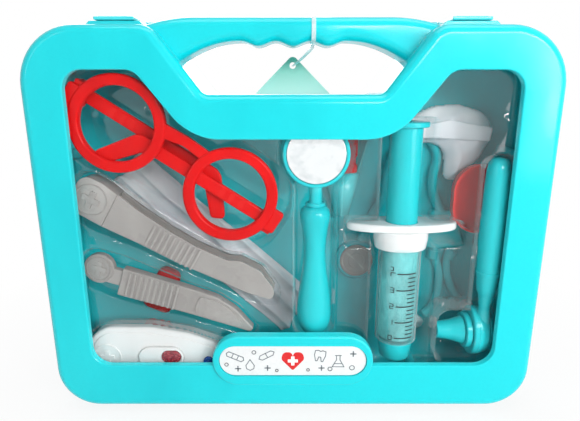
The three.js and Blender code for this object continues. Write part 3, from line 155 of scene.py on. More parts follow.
def pierce(bm, hollows, front, floor, through, soft=0.0, arc=11, steps=2):
    """Sinks hollows of given outlines from the flat front face down to a floor, or right through it."""
    def open_face(level):
        face = max((f for f in bm.faces if lies_at(f, level)), key=lambda f: f.calc_area())
        rim = list(face.edges)
        bmesh.ops.delete(bm, geom=[face], context="FACES_ONLY")
        return rim

    rim, lips = open_face(front), []
    for corners in hollows:
        ring = [bm.verts.new((x, y, front)) for x, y in outline_points(corners, arc)]
        lips += [bm.edges.new(pair) for pair in zip(ring, ring[1:] + ring[:1])]
    bmesh.ops.triangle_fill(bm, use_beauty=True, edges=rim + lips, normal=(0, 0, 1))
    sunk = bmesh.ops.extrude_edge_only(bm, edges=lips)["geom"]
    bmesh.ops.translate(bm, verts=verts_in(sunk), vec=(0, 0, floor - front))
    low = [g for g in sunk if isinstance(g, bmesh.types.BMEdge) and lies_at(g, floor)]
    if through:
        bmesh.ops.triangle_fill(bm, use_beauty=True, edges=open_face(floor) + low, normal=(0, 0, -1))
    else:
        bmesh.ops.triangle_fill(bm, use_beauty=True, edges=low, normal=(0, 0, 1))
    bmesh.ops.recalc_face_normals(bm, faces=bm.faces)
    if soft:
        ease_edges(bm, [e for e in lips if e.is_valid], soft, steps)
    return bm


def turned(corners, steps, depth_share=1.0, closed=False):
    """A turned shape about the y axis, from radius and height corners (radius, y, rounding)."""
    bm = bmesh.new()
    face = outline_face(bm, corners, 0, 15)
    bmesh.ops.delete(bm, geom=[face], context="FACES_ONLY")
    if not closed:
        core = [e for e in bm.edges if all(abs(v.co.x) < 1e-4 for v in e.verts)]
        bmesh.ops.delete(bm, geom=core, context="EDGES")
    bmesh.ops.spin(bm, geom=bm.verts[:] + bm.edges[:], cent=(0, 0, 0), axis=(0, 1, 0), dvec=(0, 0, 0),
                   angle=2 * math.pi, steps=steps, use_merge=True, use_duplicate=False)
    bmesh.ops.remove_doubles(bm, verts=bm.verts, dist=0.005)
    bmesh.ops.recalc_face_normals(bm, faces=bm.faces)
    bmesh.ops.scale(bm, verts=bm.verts, vec=(1, 1, depth_share))
    return bm


def flowing(points, each):
    """More points on one smooth line through a few, ends kept."""
    rows = [Vector(p) for p in points]
    rows = [2 * rows[0] - rows[1]] + rows + [2 * rows[-1] - rows[-2]]
    line = []
    for a, b, c, d in zip(rows, rows[1:], rows[2:], rows[3:]):
        for i in range(each):
            t = i / each
            line.append(0.5 * (2 * b + (c - a) * t + (2 * a - 5 * b + 4 * c - d) * t * t
                               + (3 * b - a - 3 * c + d) * t ** 3))
    return line + [rows[-2]]


def turned_grip(shares, radius, foot, length, steps):
    """A turned handle whose outline flows through a few (radius share, height share) pairs."""
    return turned([(max(r, 0) * radius, foot + up * length, 0) for r, up in flowing(shares, 4)], steps)


def box(x0, x1, y0, y1, z0, z1, soft, steps=3):
    """A block with all its edges eased."""
    bm = bmesh.new()
    bmesh.ops.create_cube(bm, size=1)
    bmesh.ops.scale(bm, verts=bm.verts, vec=(x1 - x0, y1 - y0, z1 - z0))
    bmesh.ops.translate(bm, verts=bm.verts, vec=((x0 + x1) / 2, (y0 + y1) / 2, (z0 + z1) / 2))
    ease_edges(bm, bm.edges[:], soft, steps)
    return bm


def bar(radius, length, soft, steps):
    """A round bar along y from 0, its end rims eased."""
    return turned([(0, 0, 0), (radius, 0, soft), (radius, length, soft), (0, length, 0)], steps)


def moved(bm, x, y, z=0.0, turn=0.0, axis="Z"):
    bm.transform(Matrix.Translation((x, y, z)) @ Matrix.Rotation(math.radians(turn), 4, axis))
    return bm


def facing(bm, x=0.0, y=0.0):
    """Lays a turned shape so that its top faces the viewer."""
    return moved(bm, x, y, 0, 90, "X")


def tinted(bm, index):
    """All faces of a part take the piece's material of that number."""
    for face in bm.faces:
        face.material_index = index
    return bm


def joined(*parts):
    """Several closed shapes as one piece."""
    whole = bmesh.new()
    for part in parts:
        bmesh.ops.remove_doubles(part, verts=part.verts, dist=0.001)
        bmesh.ops.recalc_face_normals(part, faces=part.faces)
        spare = bpy.data.meshes.new("spare")
        part.to_mesh(spare)
        part.free()
        whole.from_mesh(spare)
        bpy.data.meshes.remove(spare)
    return whole


def piece(name, bm, body, look, replaces=None, sharp=32, weighted=True, place=(0, 0, 0)):
    """Lays a finished shape into the frame as one named piece; place is its x, y and turn in degrees."""
    slot, *materials = look
    x, y, turn = place
    moved(bm, x, y, 0, turn)
    bmesh.ops.recalc_face_normals(bm, faces=bm.faces)
    bm.transform(STAND_UP)
    mesh = bpy.data.meshes.new(name)
    bm.to_mesh(mesh)
    bm.free()
    mesh.shade_smooth()
    mesh.set_sharp_from_angle(angle=math.radians(sharp))
    for material in materials:
        mesh.materials.append(material)
    obj = bpy.data.objects.new(name, mesh)
    bpy.context.scene.collection.objects.link(obj)
    if weighted:
        obj.modifiers.new("even_shading", "WEIGHTED_NORMAL").keep_sharp = True
    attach(obj, body)
    if replaces:
        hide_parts(replaces)
    return obj


# ---------------------------------------------------------------- finishes
def shade(r, g, b):
    """A colour picked as it looks on screen, as the numbers that a shader takes."""
    return tuple(c / 12.92 if c <= 0.04045 else ((c + 0.055) / 1.055) ** 2.4
                 for c in (r / 255, g / 255, b / 255)) + (1.0,)


class Nodes:
    """A node tree that is put together step by step."""

    def __init__(self, tree):
        self.tree = tree

    def add(self, kind, **sockets):
        node = self.tree.nodes.new(kind)
        for key, value in sockets.items():
            node.inputs[key.replace("_", " ")].default_value = value
        return node

    def link(self, start, end):
        self.tree.links.new(start, end)

    def put(self, value, socket):
        """Sets a plain value on the socket, or links another node's output to it."""
        if isinstance(value, (float, int, tuple)):
            socket.default_value = value
        else:
            self.link(value, socket)

    def reckon(self, how, *values):
        node = self.add("ShaderNodeMath")
        node.operation = how
        for value, socket in zip(values, node.inputs):
            self.put(value, socket)
        return node.outputs[0]

    def blend(self, amount, first, second):
        """Two shaders mixed by an amount."""
        node = self.add("ShaderNodeMixShader")
        self.link(amount, node.inputs["Fac"])
        self.link(first.outputs[0], node.inputs[1])
        self.link(second.outputs[0], node.inputs[2])
        return node


class Finish(Nodes):
    """A material on the object's own coordinates."""

    def __init__(self, name):
        self.material = bpy.data.materials.new(name)
        self.material.use_nodes = True
        super().__init__(self.material.node_tree)
        self.skin = self.tree.nodes["Principled BSDF"]
        self.out = self.tree.nodes["Material Output"]
        self.coords = self.add("ShaderNodeTexCoord").outputs["Object"]

    def cloud(self, scale, detail, rough=0.5, stretch=(1, 1, 1)):
        """Soft noise; scale is spots per metre."""
        mapping = self.add("ShaderNodeMapping", Scale=stretch)
        noise = self.add("ShaderNodeTexNoise", Scale=scale, Detail=detail, Roughness=rough)
        self.link(self.coords, mapping.inputs["Vector"])
        self.link(mapping.outputs["Vector"], noise.inputs["Vector"])
        return noise.outputs["Fac"]

    def ramp(self, source, *stops):
        node = self.add("ShaderNodeValToRGB")
        band = node.color_ramp.elements
        while len(band) < len(stops):
            band.new(0.5)
        for element, (place, value) in zip(band, stops):
            element.position = place
            element.color = value if isinstance(value, tuple) else (value, value, value, 1)
        self.link(source, node.inputs["Fac"])
        return node.outputs["Color"]

    def mix(self, amount, first, second, how="MIX"):
        node = self.add("ShaderNodeMix")
        node.data_type = "RGBA"
        node.blend_type = how
        self.put(amount, node.inputs["Factor"])
        self.put(first, node.inputs[6])
        self.put(second, node.inputs[7])
        return node.outputs[2]

    def bump(self, height, strength, distance, under=None):
        node = self.add("ShaderNodeBump", Strength=strength, Distance=distance)
        self.link(height, node.inputs["Height"])
        if under is not None:
            self.link(under, node.inputs["Normal"])
        return node.outputs["Normal"]

    def edges(self):
        """Where the surface turns over an edge: the mask for its paler edge, part wear and part painted highlight."""
        return self.ramp(self.add("ShaderNodeNewGeometry").outputs["Pointiness"], (0.52, 0.0), (0.62, 1.0))

    def surface(self, colour, roughness, relief, **others):
        """Gives the skin its colour, roughness and relief, and whatever other sockets are named."""
        for name, value in {"Base Color": colour, "Roughness": roughness, "Normal": relief, **others}.items():
            self.put(value, self.skin.inputs[name.replace("_", " ")])
        return self.material


# how far edges are painted paler: part wear, part painted highlight
EDGE_WEAR_AND_HIGHLIGHT = 0.35


def moulded(name, colour, deep=None, pale=None, gloss=0.22, grain=0.35, coat=0.0, shine=0.35,
            coat_gloss=0.08):
    """Injection-moulded plastic: flow marks, a fine grain, and edges painted paler, part handling wear and part painted
    highlight.
    """
    f = Finish(name)
    deep = deep or tuple(c * 0.86 for c in colour[:3]) + (1.0,)
    pale = pale or tuple(min(1, c * 1.06 + 0.02) for c in colour[:3]) + (1.0,)
    flow = f.ramp(f.cloud(9, 4, 0.6, (1, 1, 0.35)), (0.35, deep), (0.5, colour), (0.72, colour))
    speck = f.ramp(f.cloud(900, 2), (0.42, 0.0), (0.75, 0.25))
    body = f.mix(speck, flow, deep)
    # convex edges take the pale colour: part handling wear, part painted highlight
    worn_and_highlit = f.mix(f.mix(EDGE_WEAR_AND_HIGHLIGHT, (0, 0, 0, 1), f.edges()), body, pale)
    fine = f.bump(f.cloud(1500, 2), grain * 0.25, 0.00005)
    return f.surface(worn_and_highlit, f.ramp(f.cloud(55, 5, 0.6), (0.3, gloss * 0.75), (0.7, gloss * 1.35)),
                     f.bump(f.cloud(28, 2), grain, 0.0003, fine), IOR=1.5, Coat_Weight=coat,
                     Coat_Roughness=coat_gloss, Specular_IOR_Level=shine)


def see_through(name, tint, haze, haze_colour, rim, gloss=0.06, ripple=0.0, glare=0.045):
    """Thin clear sheet: it lets straight through, shines by its angle, and hazes where it is thick or scuffed."""
    f = Finish(name)
    f.tree.nodes.remove(f.skin)
    straight = f.add("ShaderNodeBsdfTransparent", Color=tint)
    shine = f.add("ShaderNodeBsdfAnisotropic", Color=(1, 1, 1, 1), Roughness=gloss)
    milk = f.add("ShaderNodeBsdfDiffuse", Color=haze_colour)
    slant = f.add("ShaderNodeLayerWeight", Blend=0.5)
    if ripple:
        wave = f.bump(f.cloud(45, 3), ripple, 0.0006)
        f.link(wave, shine.inputs["Normal"])
        f.link(wave, slant.inputs["Normal"])
    scuffs = f.ramp(f.cloud(60, 6, 0.7, (1, 1, 0.4)), (0.4, haze * 0.6), (0.75, haze * 1.5))
    turned_away = f.add("ShaderNodeLayerWeight", Blend=0.35).outputs["Facing"]
    edge = f.ramp(turned_away, (0.3, 0.0), (0.9, rim))
    milky = f.blend(f.mix(1.0, scuffs, edge, "ADD"), straight, milk)
    shiny = f.reckon("MULTIPLY_ADD", f.reckon("POWER", slant.outputs["Facing"], 5.0), 0.9, glare)
    f.link(f.blend(shiny, milky, shine).outputs[0], f.out.inputs["Surface"])
    return f.material


def brushed_steel(name):
    f = Finish(name)
    streak = f.cloud(700, 3, 0.6, (0.05, 1, 1))
    return f.surface(f.ramp(streak, (0.3, shade(150, 156, 160)), (0.7, shade(205, 210, 214))),
                     f.ramp(streak, (0.3, 0.22), (0.7, 0.4)), f.bump(streak, 0.3, 0.00004), Metallic=1.0)


def mirror_foil(name):
    """Silvered sheet that isn't quite flat; the darker cloudy patches in its colour are painted reflection."""
    f = Finish(name)
    # darker patches in the silver colour are painted reflection
    return f.surface(f.ramp(f.cloud(110, 5, 0.65), (0.3, shade(226, 231, 233)), (0.5, shade(247, 249, 250))),
                     f.ramp(f.cloud(140, 4), (0.35, 0.06), (0.7, 0.22)), f.bump(f.cloud(120, 4), 0.35, 0.0006),
                     Metallic=0.75)


def woven_cloth(name, thread, shadow):
    """Thin felted cloth: crossed threads, fibre fuzz and a soft sheen."""
    f = Finish(name)
    weave = []
    for direction in ("X", "Z"):
        wave = f.add("ShaderNodeTexWave", Scale=520.0, Distortion=1.4, Detail=2.0)
        wave.bands_direction = direction
        f.link(f.coords, wave.inputs["Vector"])
        weave.append(wave.outputs["Fac"])
    threads = f.mix(0.5, *weave)
    fuzz = f.cloud(420, 5, 0.7)
    tone = f.ramp(f.cloud(30, 4), (0.3, shadow), (0.65, thread))
    return f.surface(f.mix(f.ramp(fuzz, (0.4, 0.0), (0.8, 0.35)), tone, shadow),
                     f.ramp(fuzz, (0.3, 0.8), (0.7, 0.95)),
                     f.bump(threads, 0.35, 0.0001, f.bump(fuzz, 0.4, 0.0003)),
                     Sheen_Weight=0.3, Sheen_Roughness=0.5)


def printed(name, colour, gloss=0.35):
    """Ink on card: a little uneven, with the card's fibre showing."""
    f = Finish(name)
    faint = tuple(c * 0.95 for c in colour[:3]) + (1.0,)
    return f.surface(f.ramp(f.cloud(650, 4, 0.6), (0.3, faint), (0.6, colour)),
                     f.ramp(f.cloud(200, 3), (0.3, gloss), (0.7, gloss + 0.15)),
                     f.bump(f.cloud(900, 4), 0.15, 0.00005))


def tag_card(name):
    """Glazed card whose pale green fades out below its upper corner."""
    f = Finish(name)
    split = f.add("ShaderNodeSeparateXYZ")
    f.link(f.coords, split.inputs[0])
    height = f.add("ShaderNodeMapRange", From_Min=0.17, From_Max=0.204)
    f.link(split.outputs["Z"], height.inputs["Value"])
    fade = f.ramp(height.outputs["Result"], (0.0, shade(240, 244, 242)), (0.45, shade(190, 226, 214)),
                  (1.0, shade(84, 182, 160)))
    fibre = f.ramp(f.cloud(700, 5, 0.6), (0.4, 0.0), (0.8, 0.12))
    return f.surface(f.mix(fibre, fade, shade(205, 210, 208)), f.ramp(f.cloud(120, 3), (0.3, 0.3), (0.7, 0.45)),
                     f.bump(f.cloud(800, 4), 0.15, 0.00006))


def glitter(name):
    """Fine red glitter set in clear resin."""
    f = Finish(name)
    cells = f.add("ShaderNodeTexVoronoi", Scale=1900.0)
    f.link(f.coords, cells.inputs["Vector"])
    flakes = f.ramp(cells.outputs["Color"], (0.2, shade(96, 6, 26)), (0.6, shade(150, 14, 40)),
                    (0.85, shade(222, 90, 100)))
    away = cells.outputs["Distance"]
    return f.surface(flakes, f.ramp(away, (0.0, 0.15), (0.6, 0.5)), f.bump(away, 0.8, 0.0002), Coat_Weight=0.8)


# each look is a slot name, which piece() does not use, and the materials that a piece wears
# the third colour of each moulded plastic is its pale edge: part wear, part painted highlight
turquoise = "turquoise_plastic", moulded("turquoise_shell_plastic", shade(16, 213, 221), shade(6, 202, 212),
                                         shade(130, 240, 242), gloss=0.13, coat=0.14, shine=0.28, coat_gloss=0.3)
tool_turquoise = "turquoise_plastic", moulded("turquoise_tool_plastic", shade(34, 206, 213), shade(14, 182, 192),
                                              shade(140, 236, 236), gloss=0.16, coat=0.03, shine=0.3)
pale_turquoise = "soft_turquoise", moulded("soft_turquoise_rubber", shade(70, 205, 208), gloss=0.4, grain=0.5)
red = "red_plastic", moulded("red_tool_plastic", shade(236, 10, 12), shade(198, 4, 8), shade(255, 70, 64),
                             gloss=0.15, shine=0.13)
glitter_red = "red_plastic", glitter("glitter_gem")
grey = "grey_plastic", moulded("grey_tool_plastic", shade(168, 164, 161), shade(146, 142, 139),
                               shade(214, 211, 208), gloss=0.28, grain=0.2)
white = "white_plastic", moulded("white_tool_plastic", shade(240, 241, 241), shade(230, 230, 229),
                                 shade(251, 251, 251), gloss=0.2)
blue = "blue_plastic", moulded("blue_button_plastic", shade(40, 92, 176), shade(22, 62, 140), shade(110, 150, 220))
foil = "mirror_foil", mirror_foil("mirror_foil")
tray_clear = "clear_plastic", see_through("tray_sheet", (0.99, 0.995, 0.995, 1), 0.008, (0.88, 0.89, 0.88, 1),
                                          gloss=0.05, rim=0.6, ripple=0.2, glare=0.06)
strap_clear = "clear_plastic", see_through("strap_plastic", (0.95, 0.97, 0.97, 1), 0.45, (0.92, 0.94, 0.94, 1),
                                           gloss=0.2, rim=0.4)
barrel_clear = ("clear_plastic",
                see_through("barrel_plastic", (0.93, 0.99, 0.99, 1), 0.05, (0.7, 0.93, 0.93, 1), rim=0.7),
                see_through("barrel_bore", (0.7, 0.98, 0.98, 1), 0.5, (0.33, 0.97, 0.98, 1), gloss=0.2, rim=0.2),
                printed("print_black", shade(30, 34, 38)))
white_cloth = "white_cloth", woven_cloth("white_cloth", shade(247, 247, 249), shade(226, 227, 234))
card = "card", tag_card("tag_card")
label_card = ("printed_paper", printed("label_card", shade(236, 236, 236), 0.3),
              printed("print_red", shade(224, 28, 30)), printed("print_grey", shade(120, 128, 134)),
              printed("print_white", shade(250, 250, 250)))
steel = brushed_steel("steel_wire")
pane_clear = see_through("window_sheet", (0.995, 0.998, 0.998, 1), 0.0015, (0.9, 0.96, 0.96, 1), rim=0.03,
                         glare=0.004)


# ---------------------------------------------------------------- the hang tag and its flat clear strap
TAG_TOP, TAG_HALF, TAG_BACK, TAG_FRONT = 205.44, 31.11, -28.8, -28.3
HOLE_UP, HOLE_RADIUS = 199.2, 1.9
TAG = [(0, TAG_TOP, 3), (-TAG_HALF, TAG_TOP - TAG_HALF, 3), (0, TAG_TOP - 2 * TAG_HALF, 3),
       (TAG_HALF, TAG_TOP - TAG_HALF, 3)]
TAG_HOLE = rounded_box(-HOLE_RADIUS, HOLE_RADIUS, HOLE_UP - HOLE_RADIUS, HOLE_UP + HOLE_RADIUS, HOLE_RADIUS)
tag = piece("hang_tag_card", pierce(plate(TAG, TAG_BACK, TAG_FRONT, 0.12, 0.12, 2), [TAG_HOLE], TAG_FRONT,
                                    TAG_BACK, True), "rear", card, "hang_tag")


def tag_strap():
    """A loop round the grip, whose joined ends run down to the tag's hole and narrow there."""
    low, high, back, front, round_off = 207.93, 221.6, -9.6, 14.6, 5
    across, half, narrowing, steps = 10.5, 1.1, 0.45, 10
    ring = [tuple(p) for p in outline_points([(low, back, round_off), (high, back, round_off),
                                              (high, front, round_off), (low, front, round_off)], 9)]
    start = min(range(len(ring)), key=lambda i: abs(ring[i][0] - low) + abs(ring[i][1] + 4))
    ring = ring[start:] + ring[:start]
    if ring[1][1] < ring[0][1]:
        ring = ring[:1] + ring[:0:-1]
    run = [(across, low, -4.0)] + [(across, y, z) for y, z in ring[1:]] + [(across, low - 0.7, -5.0)]
    hole = Vector((0, HOLE_UP, TAG_BACK - 0.1))
    down = [Vector(run[-1]).lerp(hole, i / steps) for i in range(1, steps + 1)]
    line = run + [(p.x, p.y - 0.5 * math.sin(math.pi * i / steps), p.z) for i, p in enumerate(down, 1)]
    bm = bmesh.new()
    rows = []
    for i, (x, y, z) in enumerate(line):
        reach = half - narrowing * max(i - len(run) + 1, 0) / steps
        rows.append((bm.verts.new((x - reach, y, z)), bm.verts.new((x + reach, y, z))))
    first = [bm.edges.new(pair) for pair in rows]
    for a, b in zip(first, first[1:]):
        bmesh.ops.bridge_loops(bm, edges=[a, b])
    bmesh.ops.recalc_face_normals(bm, faces=bm.faces)
    bmesh.ops.solidify(bm, geom=bm.faces[:], thickness=0.5)
    strap = piece("tag_strap_loop", bm, "rear", strap_clear, "tag_strap", weighted=False)


tag_strap()


# ---------------------------------------------------------------- the case
CASE = both_sides([(137.5, 3, 24), (137.5, 216, 30), (71, 216, 10), (45.4, 182.5, 5)])
WINDOW = both_sides([(115.3, 30.5, 11), (115.3, 194.4, 10), (79.5, 194.4, 9), (52.3, 160, 28)])
WALL = 2.2
SEAM, SEAM_BEHIND, CASE_FRONT, CASE_BACK = 3, 2.7, 26, -28
WINDOW_STEP = 3.7
HINGE_AT, FOOT_AT, LATCH_AT = 84.975, 112.0, 89.25
LATCH_UP, LATCH_IN = 218.6, -7.3


def half_shell(seam, face_z, window=None):
    """One half of the case: its outline drawn out, its far rim rounded over, and a wall given to it."""
    front, back = (8, 0) if face_z > seam else (0, 8)
    bm = plate(CASE, min(seam, face_z), max(seam, face_z), front, back, 8, 7.5)
    open_side = [f for f in bm.faces if lies_at(f, seam)]
    if window:
        pierce(bm, [window], face_z, face_z - WINDOW_STEP, False, 0.9, 7.5, 3)
        open_side += [f for f in bm.faces if lies_at(f, face_z - WINDOW_STEP)]
    bmesh.ops.delete(bm, geom=open_side, context="FACES")
    bmesh.ops.solidify(bm, geom=bm.faces[:], thickness=WALL)
    return bm


GRIP_TOP, GRIP_UNDER, RIDGED_HALF, RIDGE_PITCH = 221, 208.1, 27.45, 18.3


def handle_top(x):
    """The grip's upper line, which falls a little towards the shoulders."""
    return GRIP_TOP - 3.4 * (max(abs(x) - 50, 0) / 24.5) ** 2


def handle_underside(x):
    """The grip's lower line: finger ridges in the middle, then a fall into the shoulders."""
    if abs(x) < RIDGED_HALF:
        return GRIP_UNDER - 1.25 * math.cos(2 * math.pi * x / RIDGE_PITCH)
    return GRIP_UNDER + 1.25 - 7.4 * ((min(abs(x), 64) - RIDGED_HALF) / 27) ** 2


def handle_half(seam, keep_front):
    """The half of the grip that one shell carries: a rounded section drawn along it, cut at the seam and hollowed."""
    bm = plate(rounded_box(-9, 14, 200, 220, 5), -80, 80, 0, 0, 1, 13)
    along = [e for e in bm.edges if abs(e.verts[0].co.z - e.verts[1].co.z) > 100]
    bmesh.ops.subdivide_edges(bm, edges=along, cuts=119, use_grid_fill=True)
    for v in bm.verts:
        depth, up, x = v.co
        v.co = (x, up + (handle_top(x) - 220 if up > 210 else handle_underside(x) - 200), depth)
    bmesh.ops.recalc_face_normals(bm, faces=bm.faces)
    bmesh.ops.bisect_plane(bm, geom=everything(bm), plane_co=(0, 0, seam), plane_no=(0, 0, 1),
                           clear_inner=keep_front, clear_outer=not keep_front)
    cut = bmesh.ops.holes_fill(bm, edges=[e for e in bm.edges if e.is_boundary], sides=0)["faces"]
    bmesh.ops.recalc_face_normals(bm, faces=bm.faces)
    bmesh.ops.inset_region(bm, faces=cut, thickness=WALL, use_even_offset=True)
    hollow = bmesh.ops.extrude_face_region(bm, geom=cut)["geom"]
    bmesh.ops.translate(bm, verts=verts_in(hollow), vec=(0, 0, 7 if keep_front else -7))
    bmesh.ops.delete(bm, geom=[f for f in cut if f.is_valid], context="FACES")
    return bm


def along_x(radius, bore, x0, x1, y, z):
    """A bored barrel that lies along x."""
    bm = turned([(bore, x0, 0), (radius, x0, 0.4), (radius, x1, 0.4), (bore, x1, 0)], 28, closed=True)
    return moved(moved(bm, 0, 0, 0, -90), 0, y, z)


def knuckles(offsets):
    """Short barrels round the hinge pins at the foot."""
    return [along_x(2.8, 1.5, side * HINGE_AT + by - 4, side * HINGE_AT + by + 4, 2.8, 2.85)
            for side in (-1, 1) for by in offsets]


def feet(z0):
    return [box(side * FOOT_AT - 8, side * FOOT_AT + 8, 0, 4.1, z0, z0 + 5, 0.7) for side in (-1, 1)]


def catch(side):
    """The raised catch on the cover's top edge, with the groove that the latch hooks into."""
    middle, half, lip_half = side * LATCH_AT, 15, 12.5
    groove_half, groove_back, groove_front, groove_deep = 10.4, 12.8, 16.2, 1.9
    bm = plate([(middle - half, 213.8, 0), (middle + half, 213.8, 0), (middle + half, 216, 0.6),
                (middle + lip_half, 218.2, 0.8), (middle - lip_half, 218.2, 0.8), (middle - half, 216, 0.6)],
               3, 18, 0.6, 0.0)
    for at, way in (((middle - groove_half, 0, 0), (1, 0, 0)), ((middle + groove_half, 0, 0), (1, 0, 0)),
                    ((0, 0, groove_back), (0, 0, 1)), ((0, 0, groove_front), (0, 0, 1))):
        bmesh.ops.bisect_plane(bm, geom=everything(bm), plane_co=at, plane_no=way)
    sunk = [f for f in bm.faces if f.normal.y > 0.9 and abs(f.calc_center_median().x - middle) < groove_half
            and groove_back < f.calc_center_median().z < groove_front]
    drop = bmesh.ops.extrude_face_region(bm, geom=sunk)["geom"]
    bmesh.ops.translate(bm, verts=verts_in(drop), vec=(0, -groove_deep, 0))
    bmesh.ops.delete(bm, geom=[f for f in sunk if f.is_valid], context="FACES")
    return bm


def plaque():
    """The raised oval plate for the label, hollowed for it."""
    outer = rounded_box(-46, 46, 18.9, 49.9, 15.5)
    inner = rounded_box(-42.3, 42.3, 24.8, 44.0, 9.6)
    return pierce(plate(outer, 22.3, 28, 1.2, 0, 4, 7), [inner], 28, 26.3, False, 0.35, 7)


def pin_places(ring):
    """Places inside an outline: two up each side, two at the foot and one at the notch."""
    low, high, side, notch = ring[0][1], ring[1][1], ring[1][0], ring[3][1]
    places = [(s * side, low + share * (high - low)) for s in (-1, 1) for share in (0.32, 0.7)]
    return places + [(0.6 * side, low), (-0.6 * side, low), (0, notch)]


def pegs():
    """Pegs on the cover's inner face that hold the pane."""
    return [moved(bar(1.3, 4.4, 0.2, 16), x, y, 20.6, 90, "X") for x, y in pin_places(inset(WINDOW, -4.8))]


def posts():
    """Posts on the rear wall that carry the tray."""
    ring = inset(CASE, 9)
    places = pin_places(ring) + [(side * LATCH_AT, ring[1][1]) for side in (-1, 1)]
    return [moved(bar(3.2, 27, 0.4, 20), x, y, -26.9, 90, "X") for x, y in places]


def lugs():
    """A pair of lugs for each latch pin."""
    parts = []
    for side in (-1, 1):
        for end in (-1, 1):
            x0, x1 = sorted((side * LATCH_AT + end * 10.4, side * LATCH_AT + end * 13.4))
            parts.append(along_x(2.2, 1.3, x0, x1, LATCH_UP, LATCH_IN))
            parts.append(box(x0, x1, 214.9, 217.4, -9.5, -5.1, 0.3))
    return parts


piece("cover_shell", joined(
    half_shell(SEAM, CASE_FRONT, WINDOW), handle_half(SEAM, True), plaque(), catch(-1), catch(1), *feet(9.5),
    *knuckles((-8.4, 8.4)), *pegs()), "cover", turquoise, "front_cover", sharp=28)
piece("rear_shell_body", joined(
    half_shell(SEAM_BEHIND, CASE_BACK), handle_half(SEAM_BEHIND, False), *posts(), *lugs(), *feet(-26),
    *knuckles((0,))), "rear", turquoise, "rear_shell", sharp=28)


def latch(side, label):
    """A snap latch: a plate from its pivot barrel over the seam, with a hook and a thumb tab."""
    middle, half = side * LATCH_AT, 10
    arm = box(middle - half, middle + half, 218.5, 220.1, LATCH_IN, 18.5, 0.45)
    hook = box(middle - 9.6, middle + 9.6, 216.8, 219.2, 13.5, 15.5, 0.35)
    ridges = [box(middle - 8, middle + 8, 219.9, 220.4, z, z + 0.9, 0.2, 2) for z in (14.6, 16.2)]
    barrel = along_x(2.2, 1.3, middle - half, middle + half, LATCH_UP, LATCH_IN)
    piece(f"latch_{label}_snap", joined(arm, hook, barrel, *ridges), f"latch_{label}", turquoise, f"latch_{label}")


latch(-1, "left")
latch(1, "right")
for name in ("hinge_pin_left", "hinge_pin_right", "latch_pin_left", "latch_pin_right", "glasses_pin_left",
             "glasses_pin_right", "window_pane"):
    nodes[name].data.materials.clear()
    nodes[name].data.materials.append(pane_clear if name == "window_pane" else steel)


# ---------------------------------------------------------------- the clear tray
# where each tool lies: x, y and turn in degrees
GLASSES_AT, TWEEZERS_AT, SCALPEL_AT = (-62.975, 148.6, -33), (-109.45, 124.6, -30.3), (-109.2, 87.2, -17)
THERMOMETER_AT, MIRROR_AT = (-109.7, 31.2, 0), (12.6, 151.25, 0)
SYRINGE_AT, SCOPE_AT = (62.2, 107.7, 0), (112.7, 43.9, 0)
TWEEZERS_SIZE, SCALPEL_SIZE = (113.5, 26), (93.5, 19)
# how far forward the tray's flat lands lie
LAND = 20.0


def placed(corners, place):
    """An outline from a tool's own place, as it lies in the case."""
    at_x, at_y, turn = place
    c, s = math.cos(math.radians(turn)), math.sin(math.radians(turn))
    return [(at_x + c * x - s * y, at_y + s * x + c * y, r) for x, y, r in corners]


LOWER_HALF = [(-0.11, -0.5, 0.42), (0.25, -0.5, 0.8), (0.47, -0.39, 0.8), (0.7, -0.15, 0.8), (0.99, -0.13, 0.1)]
THERMOMETER = from_shares(LOWER_HALF + [(x, -y, r) for x, y, r in reversed(LOWER_HALF)], 104, 38)
# each pocket: its outline and place as its tool's own, and the depth of its floor
POCKETS = [
    (rounded_box(-65.8, 65.8, -26.1, 26.1, 21.3), GLASSES_AT, 1.5),
    (from_shares([(-0.12, -0.4, 0.4), (0.06, -0.42, 0.4), (0.273, -0.31, 1), (0.714, -0.19, 1), (0.9, -0.14, 0.4),
                  (1.01, 0, 0.1), (1, 0.27, 0.3), (0.875, 0.53, 0.3), (0.745, 0.51, 0.2), (0.68, 0.38, 0.2),
                  (0.388, 0.34, 0.6), (0.194, 0.45, 0.6), (0.06, 0.56, 0.4), (-0.12, 0.56, 0.4)], *TWEEZERS_SIZE),
     TWEEZERS_AT, 7.1),
    (from_shares([(-0.11, -0.5, 0.44), (0.1, -0.69, 0.3), (0.6, -0.65, 1), (1, -0.69, 0.1), (1.015, -0.5, 0.06),
                  (0.875, -0.02, 0.8), (0.73, 0.2, 0.8), (0.55, 0.24, 1), (0.12, 0.5, 0.5), (-0.11, 0.5, 0.44)],
                 *SCALPEL_SIZE), SCALPEL_AT, 12.5),
    (inset(THERMOMETER, -0.4), THERMOMETER_AT, 6.4),
    (rounded_box(-19.1, 19.1, -19.1, 19.1, 19.1), MIRROR_AT, -0.2),
    (rounded_box(-10.5, 10.5, -108.7, -9, 10.1), MIRROR_AT, -0.2),
    (rounded_box(-31.75, 31.75, -5.5, 5, 2.3), SYRINGE_AT, -5.0),
    (rounded_box(-15.9, 15.9, -81.3, 4.6, 7.7), SYRINGE_AT, -5.0),
    (rounded_box(-12.6, 12.6, 0, 61.4, 1.5), SYRINGE_AT, -5.0),
    (rounded_box(-26.4, 6.9, -15.4, 15.4, 4.8), SCOPE_AT, -5.6),
    (rounded_box(-7.6, 7.6, 0, 105.9, 7.2), SCOPE_AT, 5.2),
]
# small stiffening buttons drawn into the sheet
DIMPLES = [(-114.0, 187.2), (-111.7, 171.9), (-104.9, 168.1), (-78.9, 174.1), (-56.8, 128.1), (-54.4, 132.0),
           (-29.0, 114.8), (-19.9, 102.6), (-30.3, 184.7), (-108.4, 104.3), (-97.0, 102.0), (-79.7, 95.5),
           (-27.3, 68.4), (-36.3, 54.6), (25.9, 108.9), (32.9, 98.5), (81.8, 98.5), (99.1, 92.6), (32.4, 39.9),
           (80.8, 35.3), (84.9, 64.3), (111.7, 169.6), (35.6, 68.4)]


